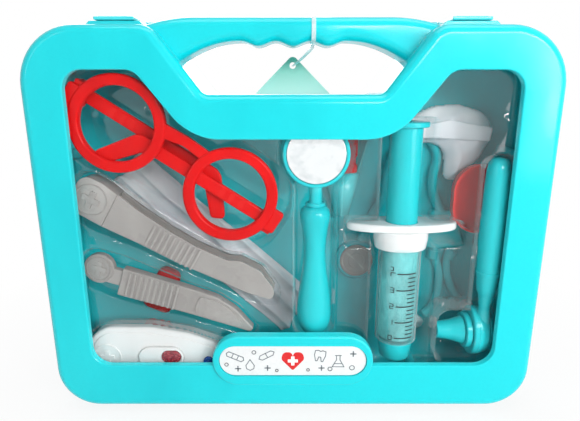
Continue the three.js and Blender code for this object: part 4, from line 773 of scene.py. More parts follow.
def outside_by(spots, ring):
    """How far each spot lies outside a closed outline, less than nothing inside it."""
    a, b = ring, np.roll(ring, -1, 0)
    best, inside = np.full(len(spots), 1e9), np.zeros(len(spots), bool)
    for (ax, ay), (bx, by) in zip(a, b):
        dx, dy = bx - ax, by - ay
        t = np.clip(((spots[:, 0] - ax) * dx + (spots[:, 1] - ay) * dy) / (dx * dx + dy * dy), 0, 1)
        best = np.minimum(best, np.hypot(spots[:, 0] - ax - t * dx, spots[:, 1] - ay - t * dy))
        if ay != by:
            crosses = (ay > spots[:, 1]) != (by > spots[:, 1])
            inside ^= crosses & (spots[:, 0] < dx * (spots[:, 1] - ay) / dy + ax)
    return np.where(inside, -best, best)


def smooth_step(share):
    share = np.clip(share, 0, 1)
    return share * share * (3 - 2 * share)


def bump_at(away, height, width):
    return height * np.exp(-(away / width) ** 2)


def tray():
    """Thin clear sheet drawn down over each tool: lands, lips with two beads, steep pocket walls, an outer flange."""
    edge = outline_points(inset(CASE, 2.7), 7)
    lip, flange, pocket_slope, outer_slope = 1.3, 0.8, 2.6, 3.0
    bm = bmesh.new()
    bmesh.ops.create_grid(bm, x_segments=340, y_segments=262, size=1)
    bmesh.ops.scale(bm, verts=bm.verts, vec=(135, 104, 1))
    bmesh.ops.translate(bm, verts=bm.verts, vec=(0, 109.5, 0))
    spots = np.array([v.co[:2] for v in bm.verts])
    past = outside_by(spots, edge)
    wall = outside_by(spots, outline_points(inset(CASE, 7), 7))
    x, y = spots[:, 0], spots[:, 1]
    top = LAND - lip + 0.25 * np.sin(x / 19 + 1) * np.cos(y / 16)
    top += 0.1 * np.sin(x / 3.6 + 2.2 * np.sin(y / 11)) * np.sin(y / 6.1 + 1.7 * np.cos(x / 14))
    height = top.copy()
    for corners, place, floor in POCKETS:
        away = outside_by(spots, outline_points(placed(corners, place), 9))
        bead = bump_at(away - 3.5, 1.4, 1.15) + bump_at(away - 8.0, 0.6, 1.1)
        drawn = floor + (top + bead - floor) * smooth_step(away / pocket_slope)
        height = np.minimum(height + bead * (height > LAND - lip + 0.1), drawn)
    for at_x, at_y in DIMPLES:
        height += bump_at(np.hypot(x - at_x, y - at_y), 1.1, 2.2)
    height = flange + (np.minimum(height, LAND + 0.3) - flange) * smooth_step((-wall - 0.2) / outer_slope)
    for v, z in zip(bm.verts, height):
        v.co.z = z
    bmesh.ops.delete(bm, geom=[v for v, d in zip(bm.verts, past) if d > 0.35], context="VERTS")
    # the cut rim is drawn onto the sheet's true edge
    rim = [v for v in bm.verts if v.is_boundary]
    near = np.array([v.co[:2] for v in rim])
    a, b = edge, np.roll(edge, -1, 0)
    run = b - a
    t = np.clip(((near[:, None] - a) * run).sum(2) / (run * run).sum(1), 0, 1)
    foot = a + t[..., None] * run
    pick = np.hypot(*(near[:, None] - foot).transpose(2, 0, 1)).argmin(1)
    for v, spot in zip(rim, foot[np.arange(len(rim)), pick]):
        v.co.x, v.co.y = spot
    piece("blister_tray_sheet", bm, "rear", tray_clear, "blister_tray", sharp=180, weighted=False)


tray()


# ---------------------------------------------------------------- instruments in the tray
def ring_z(inner, outer, z0, z1, front, back, x=0.0, y=0.0):
    """A flat ring that faces the viewer, its rims rounded."""
    return facing(turned([(inner, z0, back), (outer, z0, back), (outer, z1, front), (inner, z1, front)], 72,
                         closed=True), x, y)


def disc_z(radius, z0, z1, x, y, front, back, steps=48):
    return facing(turned([(0, z0, 0), (radius, z0, back), (radius, z1, front), (0, z1, 0)], steps), x, y)


def plus(x, y, reach, z0, z1, soft=0.25):
    """A raised plus sign."""
    arm, corners = reach * 0.34, []
    for across, up in ((1, 0), (0, 1), (-1, 0), (0, -1)):
        corners += [(x + across * a - up * b, y + up * a + across * b, r)
                    for a, b, r in ((-arm, -reach, 0.3), (arm, -reach, 0.3), (arm, -arm, 0))]
    return plate(corners, z0, z1, soft, 0, 2)


def grip_ribs(count, start, pitch, thick, low, high, z0, z1):
    return [box(start + i * pitch, start + i * pitch + thick, low, high, z0, z1, 0.35, 2) for i in range(count)]


def glasses():
    """The frame with its hinge eyes, and the two folded arms, one lying deeper than the other."""
    lens_out, end_out, arm_thick, arm_shift = 34.7, 60.4, 3.4, 2.2
    sides = ((1, 15.4, "right"), (-1, 9.9, "left"))
    rims = [ring_z(19.6, 25.7, 16, 20.4, 1.5, 0.7, side * lens_out) for side in (-1, 1)]
    bridge = plate([(-17, 5.4, 0.5), (0, 9.0, 12), (16.4, 7.4, 0.5), (15.4, 13.6, 0.5), (0, 14.6, 12),
                    (-15.6, 13.9, 0.5)], 16, 19.6, 1.2, 0.5, 4)
    ends = [plate(rounded_box(side * end_out - 5, side * end_out + 5, -6.5, 6.5, 1.6), 16, 19.6, 0.9, 0.3)
            for side in (-1, 1)]
    eyes = []
    for side, z1, _ in sides:
        low = 4.0 - side * arm_shift
        for y in (low, -low - 2.5 - 2 * side * arm_shift):
            eyes.append(box(side * end_out - 3.7, side * end_out + 3.7, y, y + 2.5, z1 - arm_thick, 16.2, 0.5))
    piece("glasses_frame_red", joined(*rims, bridge, *ends, *eyes), "rear", red, "glasses_frame", place=GLASSES_AT)
    arm = [(64.1, -3.7, 2.4), (64.1, 3.7, 2.4), (-23.6, 3.7, 7.4), (-39.6, -18.3, 2.4), (-32.2, -22, 2.4),
           (-16.2, -3.7, 7.4)]
    for side, z1, label in sides:
        middle = -side * arm_shift
        corners = [(x, y + middle, r) for x, y, r in (arm if side > 0 else mirrored(arm))]
        spine = [box(side * x - 1.6, side * x + 1.6, middle - 2.6, middle + 2.6, z1 - 0.3, z1 + 0.25, 0.25, 2)
                 for x in (30, 36, 42)]
        piece(f"glasses_arm_{label}", joined(plate(corners, z1 - arm_thick, z1, 1.1, 0.8, 4), *spine),
              f"temple_{label}", red, f"glasses_temple_{label}", place=GLASSES_AT)


TWEEZERS_ARM = from_shares([(0.089, -0.33, 0), (0.273, -0.277, 0.6), (0.493, -0.246, 1), (0.714, -0.15, 0.6),
                            (0.859, -0.104, 0.4), (0.99, 0.02, 0.1), (0.982, 0.25, 0.3), (0.868, 0.488, 0.3),
                            (0.753, 0.469, 0.15), (0.696, 0.342, 0.2), (0.537, 0.277, 0.8), (0.388, 0.292, 0.6),
                            (0.194, 0.377, 0.6), (0.089, 0.454, 0)], *TWEEZERS_SIZE)


def tweezers():
    """A round heel that joins two sprung arms; the front one is ribbed, the back one toothed at its tip."""
    z0, z1 = 7.5, 19.4
    heel = plate([(-11.6, -8.4, 9), (10.0, -8.5, 0.2), (10.0, 11.8, 0.2), (1, 13.4, 6), (-11.6, 13.0, 9.5)],
                 z0, z1, 0.4, 0.8)
    raised = ring_z(8.2, 8.9, 19.1, 19.9, 0.2, 0.1, -1.2, 2.2)
    piece("tweezers_round_heel", joined(heel, raised, plus(-1.2, 2.2, 5.0, 19.1, 20.2)), "rear", grey,
          "tweezers_heel", place=TWEEZERS_AT)
    front = plate(TWEEZERS_ARM, 17.1, z1, 0.45, 0.4)
    ribs = grip_ribs(10, 35, 3.1, 1.3, -6.2, 6.8, 19.0, 20.4)
    piece("tweezers_front_arm", joined(front, *ribs), "tweezers_front", grey,
          "tweezers_arm_front", place=TWEEZERS_AT)
    back = plate(TWEEZERS_ARM, z0, 10.3, 0.4, 0.7)
    teeth = [box(105.5 + i * 1.5, 106.3 + i * 1.5, 1.5, 7.5, 10.0, 10.42, 0.15, 2) for i in range(4)]
    piece("tweezers_back_arm", joined(back, *teeth), "tweezers_back", grey, "tweezers_arm_back", place=TWEEZERS_AT)


def scalpel():
    """One moulded piece: a round end, a ribbed grip and a blunt blade."""
    grip = plate(from_shares([(0.14, -0.64, 0.05), (0.6, -0.61, 1), (0.985, -0.65, 0.1), (1, -0.52, 0.06),
                              (0.86, -0.06, 0.8), (0.73, 0.15, 0.8), (0.55, 0.19, 1), (0.14, 0.23, 0.05)],
                             *SCALPEL_SIZE), 12.9, 19.4, 0.9, 0.9)
    blade = plate(from_shares([(0.62, -0.55, 0.2), (0.95, -0.58, 0.1), (0.84, -0.12, 0.5), (0.74, 0.04, 0.5),
                               (0.62, 0.06, 0.2)], *SCALPEL_SIZE), 19.0, 20.1, 0.3, 0, 2)
    round_end = disc_z(8.6, 14.2, 18.6, 0, 0, 0.7, 0.5)
    raised = ring_z(6.4, 7.1, 18.3, 19.1, 0.2, 0.1)
    neck = box(0, 14, -7, 2.3, 14.2, 18.1, 0.5)
    ribs = grip_ribs(10, 17.5, 3.05, 1.3, -11.4, 3.2, 18.9, 20.4)
    piece("scalpel_toy", joined(grip, blade, round_end, raised, neck, plus(0, 0, 4.2, 18.1, 19.1), *ribs), "rear",
          grey, "scalpel", place=SCALPEL_AT)


def thermometer():
    """Two halves, a raised pad with its glitter gem, and the button in its well."""
    pad_left, pad_right, face = 18.8, 45.2, 17.8
    button_x, button_y = 59.7, -2.6
    body = plate(THERMOMETER, 12.3, 17.3, 1.6, 0, 5, 8)
    upper = plate(inset(THERMOMETER, 3.2), 16.6, face, 0.7, 0, 3, 8)
    pad_well = rounded_box(pad_left - 0.3, pad_right + 0.3, -7.3, 7.3, 7.3)
    button_well = rounded_box(button_x - 3.3, button_x + 3.3, button_y - 3.3, button_y + 3.3, 3.3)
    upper = pierce(upper, [pad_well, button_well], face, 16.7, False, 0.15)
    emblem = ring_z(7.4, 8.4, 17.5, 18.3, 0.2, 0.1)
    piece("thermometer_front_half", joined(body, upper, emblem, plus(0, 0, 4.2, 17.5, 18.3)), "rear",
          white, "thermometer_body", place=THERMOMETER_AT)
    piece("thermometer_back_half", plate(THERMOMETER, 6.8, 12.0, 0, 1.4, 4, 8), "rear", white,
          "thermometer_back", place=THERMOMETER_AT)
    pad = plate(rounded_box(pad_left, pad_right, -7, 7, 7), 16.7, 19.5, 0.7, 0, 4, 8)
    pad = pierce(pad, [rounded_box(32.3, 44.3, -2.7, 5.3, 4)], 19.5, 18.4, False, 0.2)
    piece("thermometer_raised_pad", pad, "rear", white, "thermometer_pad", place=THERMOMETER_AT)
    gem = plate(rounded_box(32.6, 44.0, -2.4, 5.0, 3.7), 18.4, 20.3, 0.9, 0, 5, 8)
    piece("thermometer_glitter_gem", gem, "rear", glitter_red, "thermometer_gem", place=THERMOMETER_AT)
    button = joined(disc_z(2.9, 15.5, 18.9, button_x, button_y, 0.6, 0.1, 40),
                    plus(button_x, button_y, 1.5, 18.8, 19.15, 0.1))
    piece("thermometer_blue_button", button, "button", blue, "thermometer_button", place=THERMOMETER_AT)


def mirror():
    """A dished rim with its foil face, a thin neck, a collar and a swelling grip."""
    rim = facing(turned([(0, 11.05, 0), (18.3, 11.05, 1.6), (18.3, 17.05, 1.6), (16.3, 17.05, 0.3), (16.3, 15.55, 0),
                         (0, 15.55, 0)], 80))
    neck = turned([(0, -30.5, 0), (3.75, -30.5, 2), (3.4, -22, 6), (3.75, -15, 0), (0, -15, 0)], 32)
    collar = turned([(0, -29.2, 0), (5.6, -29.2, 0.5), (5.6, -27.2, 0.5), (0, -27.2, 0)], 40)
    grip = turned_grip([(0, 0), (0.34, 0.006), (0.62, 0.03), (0.93, 0.1), (1, 0.2), (0.9, 0.35), (0.7, 0.52),
                        (0.62, 0.68), (0.73, 0.82), (0.84, 0.9), (0.8, 0.95), (0.55, 0.985), (0, 1)],
                       10.1, -108.3, 80, 48)
    whole = joined(rim, moved(neck, 0, 0, 12.2), moved(collar, 0, 0, 11.2), moved(grip, 0, 0, 10.3))
    piece("mirror_handle_turned", whole, "rear", tool_turquoise, "mirror_handle", place=MIRROR_AT)
    piece("mirror_face", disc_z(16, 15.85, 17.05, 0, 0, 0.4, 0.1, 80), "rear", foil, "mirror_disc", place=MIRROR_AT)


def digit_strokes(which):
    """Seven plain strokes make a number: top, upper left and right, middle, lower left and right, foot."""
    on = {"0": "1110111", "1": "0010010", "2": "1011101", "3": "1011011", "m": "0001110", "L": "0100101"}[which]
    spots = [((0, 2), (1, 2)), ((0, 1), (0, 2)), ((1, 1), (1, 2)), ((0, 1), (1, 1)), ((0, 0), (0, 1)),
             ((1, 0), (1, 1)), ((0, 0), (1, 0))]
    return [stroke for stroke, flag in zip(spots, on) if flag == "1"]


def syringe_scale(radius):
    """The printed scale on the barrel's own curve: long and short lines, upright numbers, the unit on its side."""
    bm = bmesh.new()
    top, step, parts, pen = -23.4, 9.94, 4, 0.22
    long_from, short_from, lines_to = -3.4, 2.9, 7.5

    def mark(xs, ys, wider=0.0):
        (x0, x1), (y0, y1) = sorted(xs), sorted(ys)
        bm.faces.new([bm.verts.new((x, y, math.sqrt(radius ** 2 - x * x))) for x, y in (
            (x0 - wider, y0 - wider), (x1 + wider, y0 - wider), (x1 + wider, y1 + wider), (x0 - wider, y1 + wider))])

    for i in range(4 * parts + 1):
        y, whole = top - i * step / parts, i % parts == 0
        half = 0.36 if whole else 0.3
        mark((long_from if whole else short_from, lines_to), (y - half, y + half))
    for i, sign in enumerate("3210", 1):
        for (ax, ay), (bx, by) in digit_strokes(sign):
            middle = top - i * step
            mark((-6.5 + ax * 1.7, -6.5 + bx * 1.7), (middle + (ay - 1) * 1.4, middle + (by - 1) * 1.4), pen)
    for sign, y in (("L", top + 0.6), ("m", top + 3.9)):
        for (ax, ay), (bx, by) in digit_strokes(sign):
            mark((-6.7 + ay * 1.1, -6.7 + by * 1.1), (y - ax * 2.1, y - bx * 2.1), pen)
    cuts = [e for e in bm.edges if abs(e.verts[0].co.x - e.verts[1].co.x) > 1.5]
    bmesh.ops.subdivide_edges(bm, edges=cuts, cuts=4, use_grid_fill=True)
    for v in bm.verts:
        v.co.z = math.sqrt(radius ** 2 - v.co.x ** 2)
    return bm


def syringe():
    """Clear barrel with its scale, white collar with an oval flange, plunger with its piston, and a tip cap."""
    depth, barrel_radius, bore, barrel_foot = 7.8, 12.2, 10.7, -68.4
    barrel = turned([(0, barrel_foot, 0), (barrel_radius, barrel_foot, 1.2), (barrel_radius, -9, 0.3), (bore, -9, 0.3),
                     (bore, barrel_foot + 2, 1), (0, barrel_foot + 2, 0)], 64)
    for face in barrel.faces:
        spot = face.calc_center_median()
        if math.hypot(spot.x, spot.z) < 11 and spot.y > barrel_foot + 1.4:
            face.material_index = 1
    whole = joined(barrel, moved(bar(5, 7, 0.4, 32), 0, -74), tinted(syringe_scale(barrel_radius + 0.12), 2))
    piece("syringe_clear_barrel", moved(whole, 0, 0, depth), "rear", barrel_clear, "syringe_barrel",
          weighted=False, place=SYRINGE_AT)
    collar = turned([(9.2, -11, 0.3), (14.57, -11, 0.8), (15.5, -5.5, 2), (15.5, 0, 0.6), (9.2, 0, 0.3)], 64,
                    closed=True)
    for v in collar.verts:
        if math.hypot(v.co.x, v.co.z) > 9.6:
            v.co.z *= 0.8
    flange, thick = bmesh.new(), 4.6
    bmesh.ops.create_circle(flange, cap_ends=True, cap_tris=False, segments=96, radius=1)
    bmesh.ops.scale(flange, verts=flange.verts, vec=(31.35, 12, 1))
    raised = bmesh.ops.extrude_face_region(flange, geom=flange.faces[:])["geom"]
    bmesh.ops.translate(flange, verts=verts_in(raised), vec=(0, 0, thick))
    bmesh.ops.recalc_face_normals(flange, faces=flange.faces)
    ease_edges(flange, [e for e in flange.edges if lies_at(e, 0) or lies_at(e, thick)], 1.3, 4)
    pierce(flange, [rounded_box(-9.2, 9.2, -9.2, 9.2, 9.2)], thick, 0, True, 0.3, 8)
    moved(flange, 0, 0, 0, -90, "X")
    rod = turned([(7.3, -12.7, 0.2), (8.9, -12.7, 0.3), (8.9, 57.6, 0.8), (12.2, 57.6, 0.7), (12.2, 60.6, 0.9),
                  (0, 60.6, 0), (0, 57.6, 0), (7.3, 57.6, 0.3)], 56)
    piston = turned([(0, -24.2, 0), (10.4, -24.2, 0.6), (10.4, -21, 0.5), (9.3, -18.8, 0.8), (10.4, -16.6, 0.5),
                     (10.4, -13, 0.6), (0, -13, 0)], 56)
    cap = turned([(0, -76, 0), (0, -80.6, 0), (8.7, -80.6, 2.2), (9.7, -74, 6), (10.1, -68.7, 0.8),
                  (5.3, -68.7, 0.3), (5.3, -76, 0)], 56)
    for name, bm, body, look, node in (
            ("syringe_finger_collar", joined(collar, flange), "rear", white, "syringe_collar"),
            ("syringe_plunger_rod", rod, "plunger", tool_turquoise, "syringe_plunger"),
            ("syringe_rubber_piston", piston, "plunger", pale_turquoise, "syringe_piston"),
            ("syringe_tip_cap_turned", cap, "rear", tool_turquoise, "syringe_tip_cap")):
        piece(name, moved(bm, 0, 0, depth), body, look, node, place=SYRINGE_AT)


def otoscope():
    """Its dished head lies across the grip's end, with a ring and an ear cone on its side."""
    head_depth, flat, grip_depth = 7.4, 0.84, 12.8
    head = turned([(0, -6.5, 0), (9.3, -6.5, 1), (13.5, -2.6, 3), (15, 1.95, 3), (15, 6.5, 1.1), (0, 6.5, 0)], 72, flat)
    seams = [turned([(r - 0.6, y - 0.45, 0.2), (r + 0.25, y - 0.45, 0.2), (r + 0.25, y + 0.45, 0.2),
                     (r - 0.6, y + 0.45, 0.2)], 72, flat, closed=True) for r, y in ((12.3, -3.9), (14.95, 3.2))]
    neck = turned([(0, 27, 0), (4.6, 27, 1), (3.2, 17, 8), (4.4, 6, 0), (0, 6, 0)], 32)
    grip = turned_grip([(0, 0), (0.42, 0.004), (0.66, 0.02), (0.84, 0.1), (0.95, 0.3), (1, 0.5), (0.96, 0.75),
                        (0.9, 0.9), (0.74, 0.965), (0.45, 0.993), (0, 1)], 7.2, 24.5, 81, 44)
    band = turned([(6.2, 38, 0.2), (7.0, 38, 0.3), (7.0, 40, 0.3), (6.2, 40, 0.2)], 44, closed=True)
    ring = turned([(0, 6.8, 0), (10.6, 6.8, 0.5), (10.6, 10.2, 0.7), (0, 10.2, 0)], 56)
    cone = turned([(0, 10.5, 0), (8.6, 10.5, 0.6), (6.2, 17.5, 12), (4.8, 26, 0.4), (3.5, 26, 0.4), (4.9, 17, 6),
                   (6, 11.8, 0), (0, 11.8, 0)], 48)
    whole = joined(moved(joined(head, *seams), 0, 0, head_depth, 90), moved(joined(neck, grip, band), 0, 0, grip_depth))
    for name, bm, node in (("otoscope_handle_and_head", whole, "otoscope_handle"),
                           ("otoscope_collar_ring", moved(ring, 0, 0, head_depth, 90), "otoscope_ring"),
                           ("otoscope_ear_cone", moved(cone, 0, 0, head_depth, 90), "otoscope_cone")):
        piece(name, bm, "rear", tool_turquoise, node, place=SCOPE_AT)


glasses()
tweezers()
scalpel()
thermometer()
mirror()
syringe()
otoscope()


# ---------------------------------------------------------------- loose pieces packed behind the tray
# the back faces of the two layers behind the tray
BACK, UPPER = -25.5, -19.2
NOSE_SCOPE_AT, CHEST_AT, DISH_AT = (30.25, 109.5, 0), (41.0, 78.6, 0), (110.8, 122.5, 0)
HAMMER_AT, CLOTH_AT, CAP_AT = (-84.7, 58, 66), (-49.5, 88.2, -43), (91.3, 154.7, 0)


def hose(points, radius):
    """A round moulded tube along a smooth line, made from a curve."""
    curve = bpy.data.curves.new("tube_line", "CURVE")
    curve.dimensions = "3D"
    curve.bevel_depth = radius
    curve.bevel_resolution = 6
    curve.use_fill_caps = True
    line = flowing(points, 6)
    spline = curve.splines.new("POLY")
    spline.points.add(len(line) - 1)
    for spot, p in zip(spline.points, line):
        spot.co = (*p, 1)
    holder = bpy.data.objects.new("tube_line", curve)
    bpy.context.scene.collection.objects.link(holder)
    drawn = holder.evaluated_get(bpy.context.evaluated_depsgraph_get()).to_mesh()
    bm = bmesh.new()
    bm.from_mesh(drawn)
    bpy.data.objects.remove(holder)
    bmesh.ops.remove_doubles(bm, verts=bm.verts, dist=0.01)
    return bm


def sheet_wall(obj, thick):
    """Gives an open skin its thickness, away from the side that shows."""
    wall = obj.modifiers.new("wall", "SOLIDIFY")
    wall.thickness = thick
    wall.offset = -1


def nose_scope():
    """A thin open funnel with a quarter of its side cut away over the ribbed red core."""
    depth, flat, shoulder, mouth = -16.8, 0.56, 26.5, 50
    shell = turned([(3.4, 0, 0), (4.4, 0, 0), (4.4, 21, 6), (10.2, 27, 5), (12.4, 36, 10), (15.5, mouth, 0),
                    (15.5, mouth + 0.01, 0)], 64)

    def keep_faces(stays):
        gone = [f for f in shell.faces if not stays(f.calc_center_median())]
        bmesh.ops.delete(shell, geom=gone, context="FACES")

    keep_faces(lambda middle: 0.01 < middle.y < mouth - 0.005)
    for at, way in (((0, 0, 0), (1, 0, 0)), ((0, 0, 0), (0, 0, 1)), ((0, shoulder, 0), (0, 1, 0))):
        bmesh.ops.bisect_plane(shell, geom=everything(shell), plane_co=at, plane_no=way)
    keep_faces(lambda middle: middle.x <= 0 or middle.z <= 0 or middle.y <= shoulder)
    bmesh.ops.recalc_face_normals(shell, faces=shell.faces)
    bmesh.ops.scale(shell, verts=shell.verts, vec=(1, 1, flat))
    funnel = piece("nose_scope_shell", moved(shell, 0, 0, depth), "rear", tool_turquoise,
                   "nose_scope_funnel", weighted=False, place=NOSE_SCOPE_AT)
    sheet_wall(funnel, 0.0012)
    core = turned([(0, shoulder, 0), (9.1, shoulder, 1), (9.1, 31, 0.5), (8.2, 32, 0.5), (8.2, 36, 0.5), (9.1, 37, 0.5),
                   (9.1, mouth, 2), (0, mouth, 0)], 56, flat)
    piece("nose_scope_red_core", moved(core, 0, 0, depth), "rear", red, "nose_scope_core", place=NOSE_SCOPE_AT)


def stethoscope():
    """Its chest piece with a grey skin, the tubing that parts at a yoke, and two ear buds."""
    chest = turned([(0, BACK, 0), (11, BACK, 1), (13, BACK + 2, 1), (13, BACK + 5.4, 0.8), (11.6, BACK + 7, 0.5),
                    (10.7, BACK + 7, 0.2), (10.7, BACK + 6, 0), (0, BACK + 6, 0)], 72)
    piece("stethoscope_chest_shell", facing(chest), "rear", tool_turquoise,
          "stethoscope_chest_piece", place=CHEST_AT)
    skin = turned([(0, BACK + 6.3, 0), (10.4, BACK + 6.3, 0.1), (10.4, BACK + 7.3, 0.3), (8.9, BACK + 7.3, 0.2),
                   (8.7, BACK + 7.0, 0.2), (5.2, BACK + 7.0, 0.2), (5, BACK + 7.2, 0.2), (0, BACK + 7.2, 0)], 72)
    piece("stethoscope_grey_skin", facing(skin), "rear", grey, "stethoscope_diaphragm", place=CHEST_AT)
    z = BACK + 3
    loop = [(3.0, 12.6, z), (8, 26, z), (16, 42, z), (18, 58, z), (24, 72, z), (35, 79, z), (44, 76, z), (48.5, 66, z),
            (46.5, 54, z), (48, 42, z), (53, 32, z)]
    ears = [[(50, 10, z), (52, 0, z), (55, -10, z), (55, -24, z), (52, -34, z), (47, -39, z)],
            [(63, 10, z), (60, 2, z), (60, -8, z), (63, -18, z), (67, -25, z), (70, -28, z)]]
    yoke = plate([(44, 8, 3), (70, 8, 3), (60, 33, 3), (46, 33, 3)], BACK, BACK + 6, 1.4, 0.8, 4)
    sockets = [moved(bar(3.6, 6, 0.4, 28), x, 6, z, turn) for x, turn in ((50.6, 170), (62.2, 160))]
    piece("stethoscope_tubing", joined(hose(loop, 3), *[hose(ear, 2.8) for ear in ears], yoke, *sockets), "rear",
          tool_turquoise, "stethoscope_tubes", place=CHEST_AT)
    for label, (*_, before, last) in zip(("left", "right"), ears):
        way = Vector((last[0] - before[0], last[1] - before[1])).normalized()
        lean = math.degrees(math.atan2(way.y, way.x)) - 90
        tip = turned([(0, 0, 0), (3, 0, 0.4), (4.4, 3, 1.6), (3.6, 6.4, 1.6), (1.3, 7, 0.3), (1.1, 5.4, 0),
                      (0, 5.4, 0)], 40)
        tip = moved(tip, last[0] + 3.3 * way.x, last[1] + 3.3 * way.y, BACK + 4.4, lean)
        piece(f"stethoscope_ear_bud_{label}", tip, "rear", white, f"stethoscope_ear_tip_{label}", place=CHEST_AT)


def kidney_dish():
    """A bean-shaped bowl, open to the front."""
    foot, mouth = UPPER + 10.5, UPPER + 17.5
    bm = plate(from_shares([(-0.5, -0.5, 0.38), (0.5, -0.5, 0.2), (0.3, 0, 0.4), (0.5, 0.5, 0.2),
                            (-0.5, 0.5, 0.38)], 33, 41), foot, mouth, 0, 2.2, 5, 8)
    bmesh.ops.delete(bm, geom=[f for f in bm.faces if lies_at(f, mouth)], context="FACES")
    bmesh.ops.solidify(bm, geom=bm.faces[:], thickness=1.3)
    piece("kidney_dish_bowl", bm, "rear", red, "kidney_dish", place=DISH_AT)


def hammer():
    """A rubber head with two rings, and a flat handle with four grip ridges."""
    head = plate([(-15, -10.5, 5.2), (15, -7, 5.2), (15, 7, 5.2), (-15, 10.5, 5.2)], BACK, BACK + 9, 3, 3, 6, 9)
    rings = [box(x - 0.6, x + 0.6, -8.0, 8.0, BACK + 8.4, BACK + 9.0, 0.3, 2) for x in (-6.5, 6.5)]
    piece("hammer_rubber_head", joined(head, *rings), "rear", red, "hammer_head", place=HAMMER_AT)
    handle = plate(rounded_box(-4, 4, 9.33, 40.3, 2.7), BACK, BACK + 6.3, 1.6, 1.6, 5, 10)
    ridges = [box(-2.6, 2.6, y, y + 1.2, BACK + 5.9, BACK + 6.6, 0.3, 2) for y in (20, 23, 26, 29)]
    piece("hammer_flat_handle", joined(handle, *ridges), "rear", tool_turquoise, "hammer_handle", place=HAMMER_AT)


def folded_strip():
    """A long strip of thin cloth, laid in three soft pleats that lean over each other."""
    length, width, pleats = 146, 34, 3
    bm = bmesh.new()
    bmesh.ops.create_grid(bm, x_segments=110, y_segments=72, size=0.5)
    for v in bm.verts:
        u, s = v.co.x, v.co.y
        phase = 2 * math.pi * pleats * (s + 0.14 * u)
        rise = (2.2 + 1.75 * math.sin(phase + 0.5 * math.sin(6 * u)) + 0.5 * math.sin(17 * u + 5 * s)
                + 0.35 * math.sin(31 * u - 9 * s))
        v.co = (u * length * (1 - 0.02 * math.cos(9 * s)),
                width * (s + 0.03 * math.cos(phase)) + 1.2 * math.sin(5 * u), BACK + 0.35 + max(rise, 0))
    strip = piece("folded_cloth_strip", bm, "rear", white_cloth, "folded_cloth", sharp=180,
                  weighted=False, place=CLOTH_AT)
    sheet_wall(strip, 0.00035)


def nurse_cap():
    """The cap lies folded flat: a puffed crown of thin cloth, gathered at its back, and its turned-up band."""
    outline = from_shares([(-0.5, 0.02, 0.07), (0, -0.04, 0.2), (0.01, -0.5, 0.12), (0.14, -0.53, 0.12),
                           (0.38, -0.22, 0.4), (0.5, 0.1, 0.3), (0.42, 0.38, 0.3), (0.1, 0.5, 0.4), (-0.2, 0.46, 0.5),
                           (-0.5, 0.2, 0.07)], 58, 45)
    bm = bmesh.new()
    bmesh.ops.create_grid(bm, x_segments=96, y_segments=78, size=0.5)
    bmesh.ops.scale(bm, verts=bm.verts, vec=(60, 49, 1))
    past = outside_by(np.array([v.co[:2] for v in bm.verts]), outline_points(outline, 8))
    for v, d in zip(bm.verts, past):
        x, y = v.co.x, v.co.y
        puff = min(1, max(0, -d / 9)) ** 0.5
        pleat = 0.7 * math.sin(0.42 * x + 0.9 * math.sin(y / 9)) + 0.5 * math.sin(0.55 * y - 0.2 * x)
        v.co.z = UPPER + 0.6 + 7.2 * puff + pleat * puff
    bmesh.ops.delete(bm, geom=[v for v, d in zip(bm.verts, past) if d > 0.25], context="VERTS")
    crown = piece("nurse_cap_crown", bm, "rear", white_cloth, "nurse_cap", sharp=180, weighted=False,
                  place=CAP_AT)
    sheet_wall(crown, 0.0004)
    band_line = [(-26.7, 2.7), (-5.8, 2.7), (24.4, 0.9), (25.5, 9), (0, 13.5), (-26.7, 8.1)]
    band = plate([(x, y, 1.2) for x, y in band_line], UPPER + 7.6, UPPER + 9.6, 0.8, 0.3, 4)
    bmesh.ops.triangulate(band, faces=[f for f in band.faces if len(f.verts) > 4])
    stitches = [box(x, x + 1.4, 4.0, 4.5, UPPER + 9.5, UPPER + 9.75, 0.1, 1) for x in [2.4 * i - 24 for i in range(9)]]
    for name, bm in (("nurse_cap_band", band), ("nurse_cap_stitches", joined(*stitches))):
        piece(name, bm, "rear", white_cloth, sharp=60, weighted=False, place=CAP_AT)


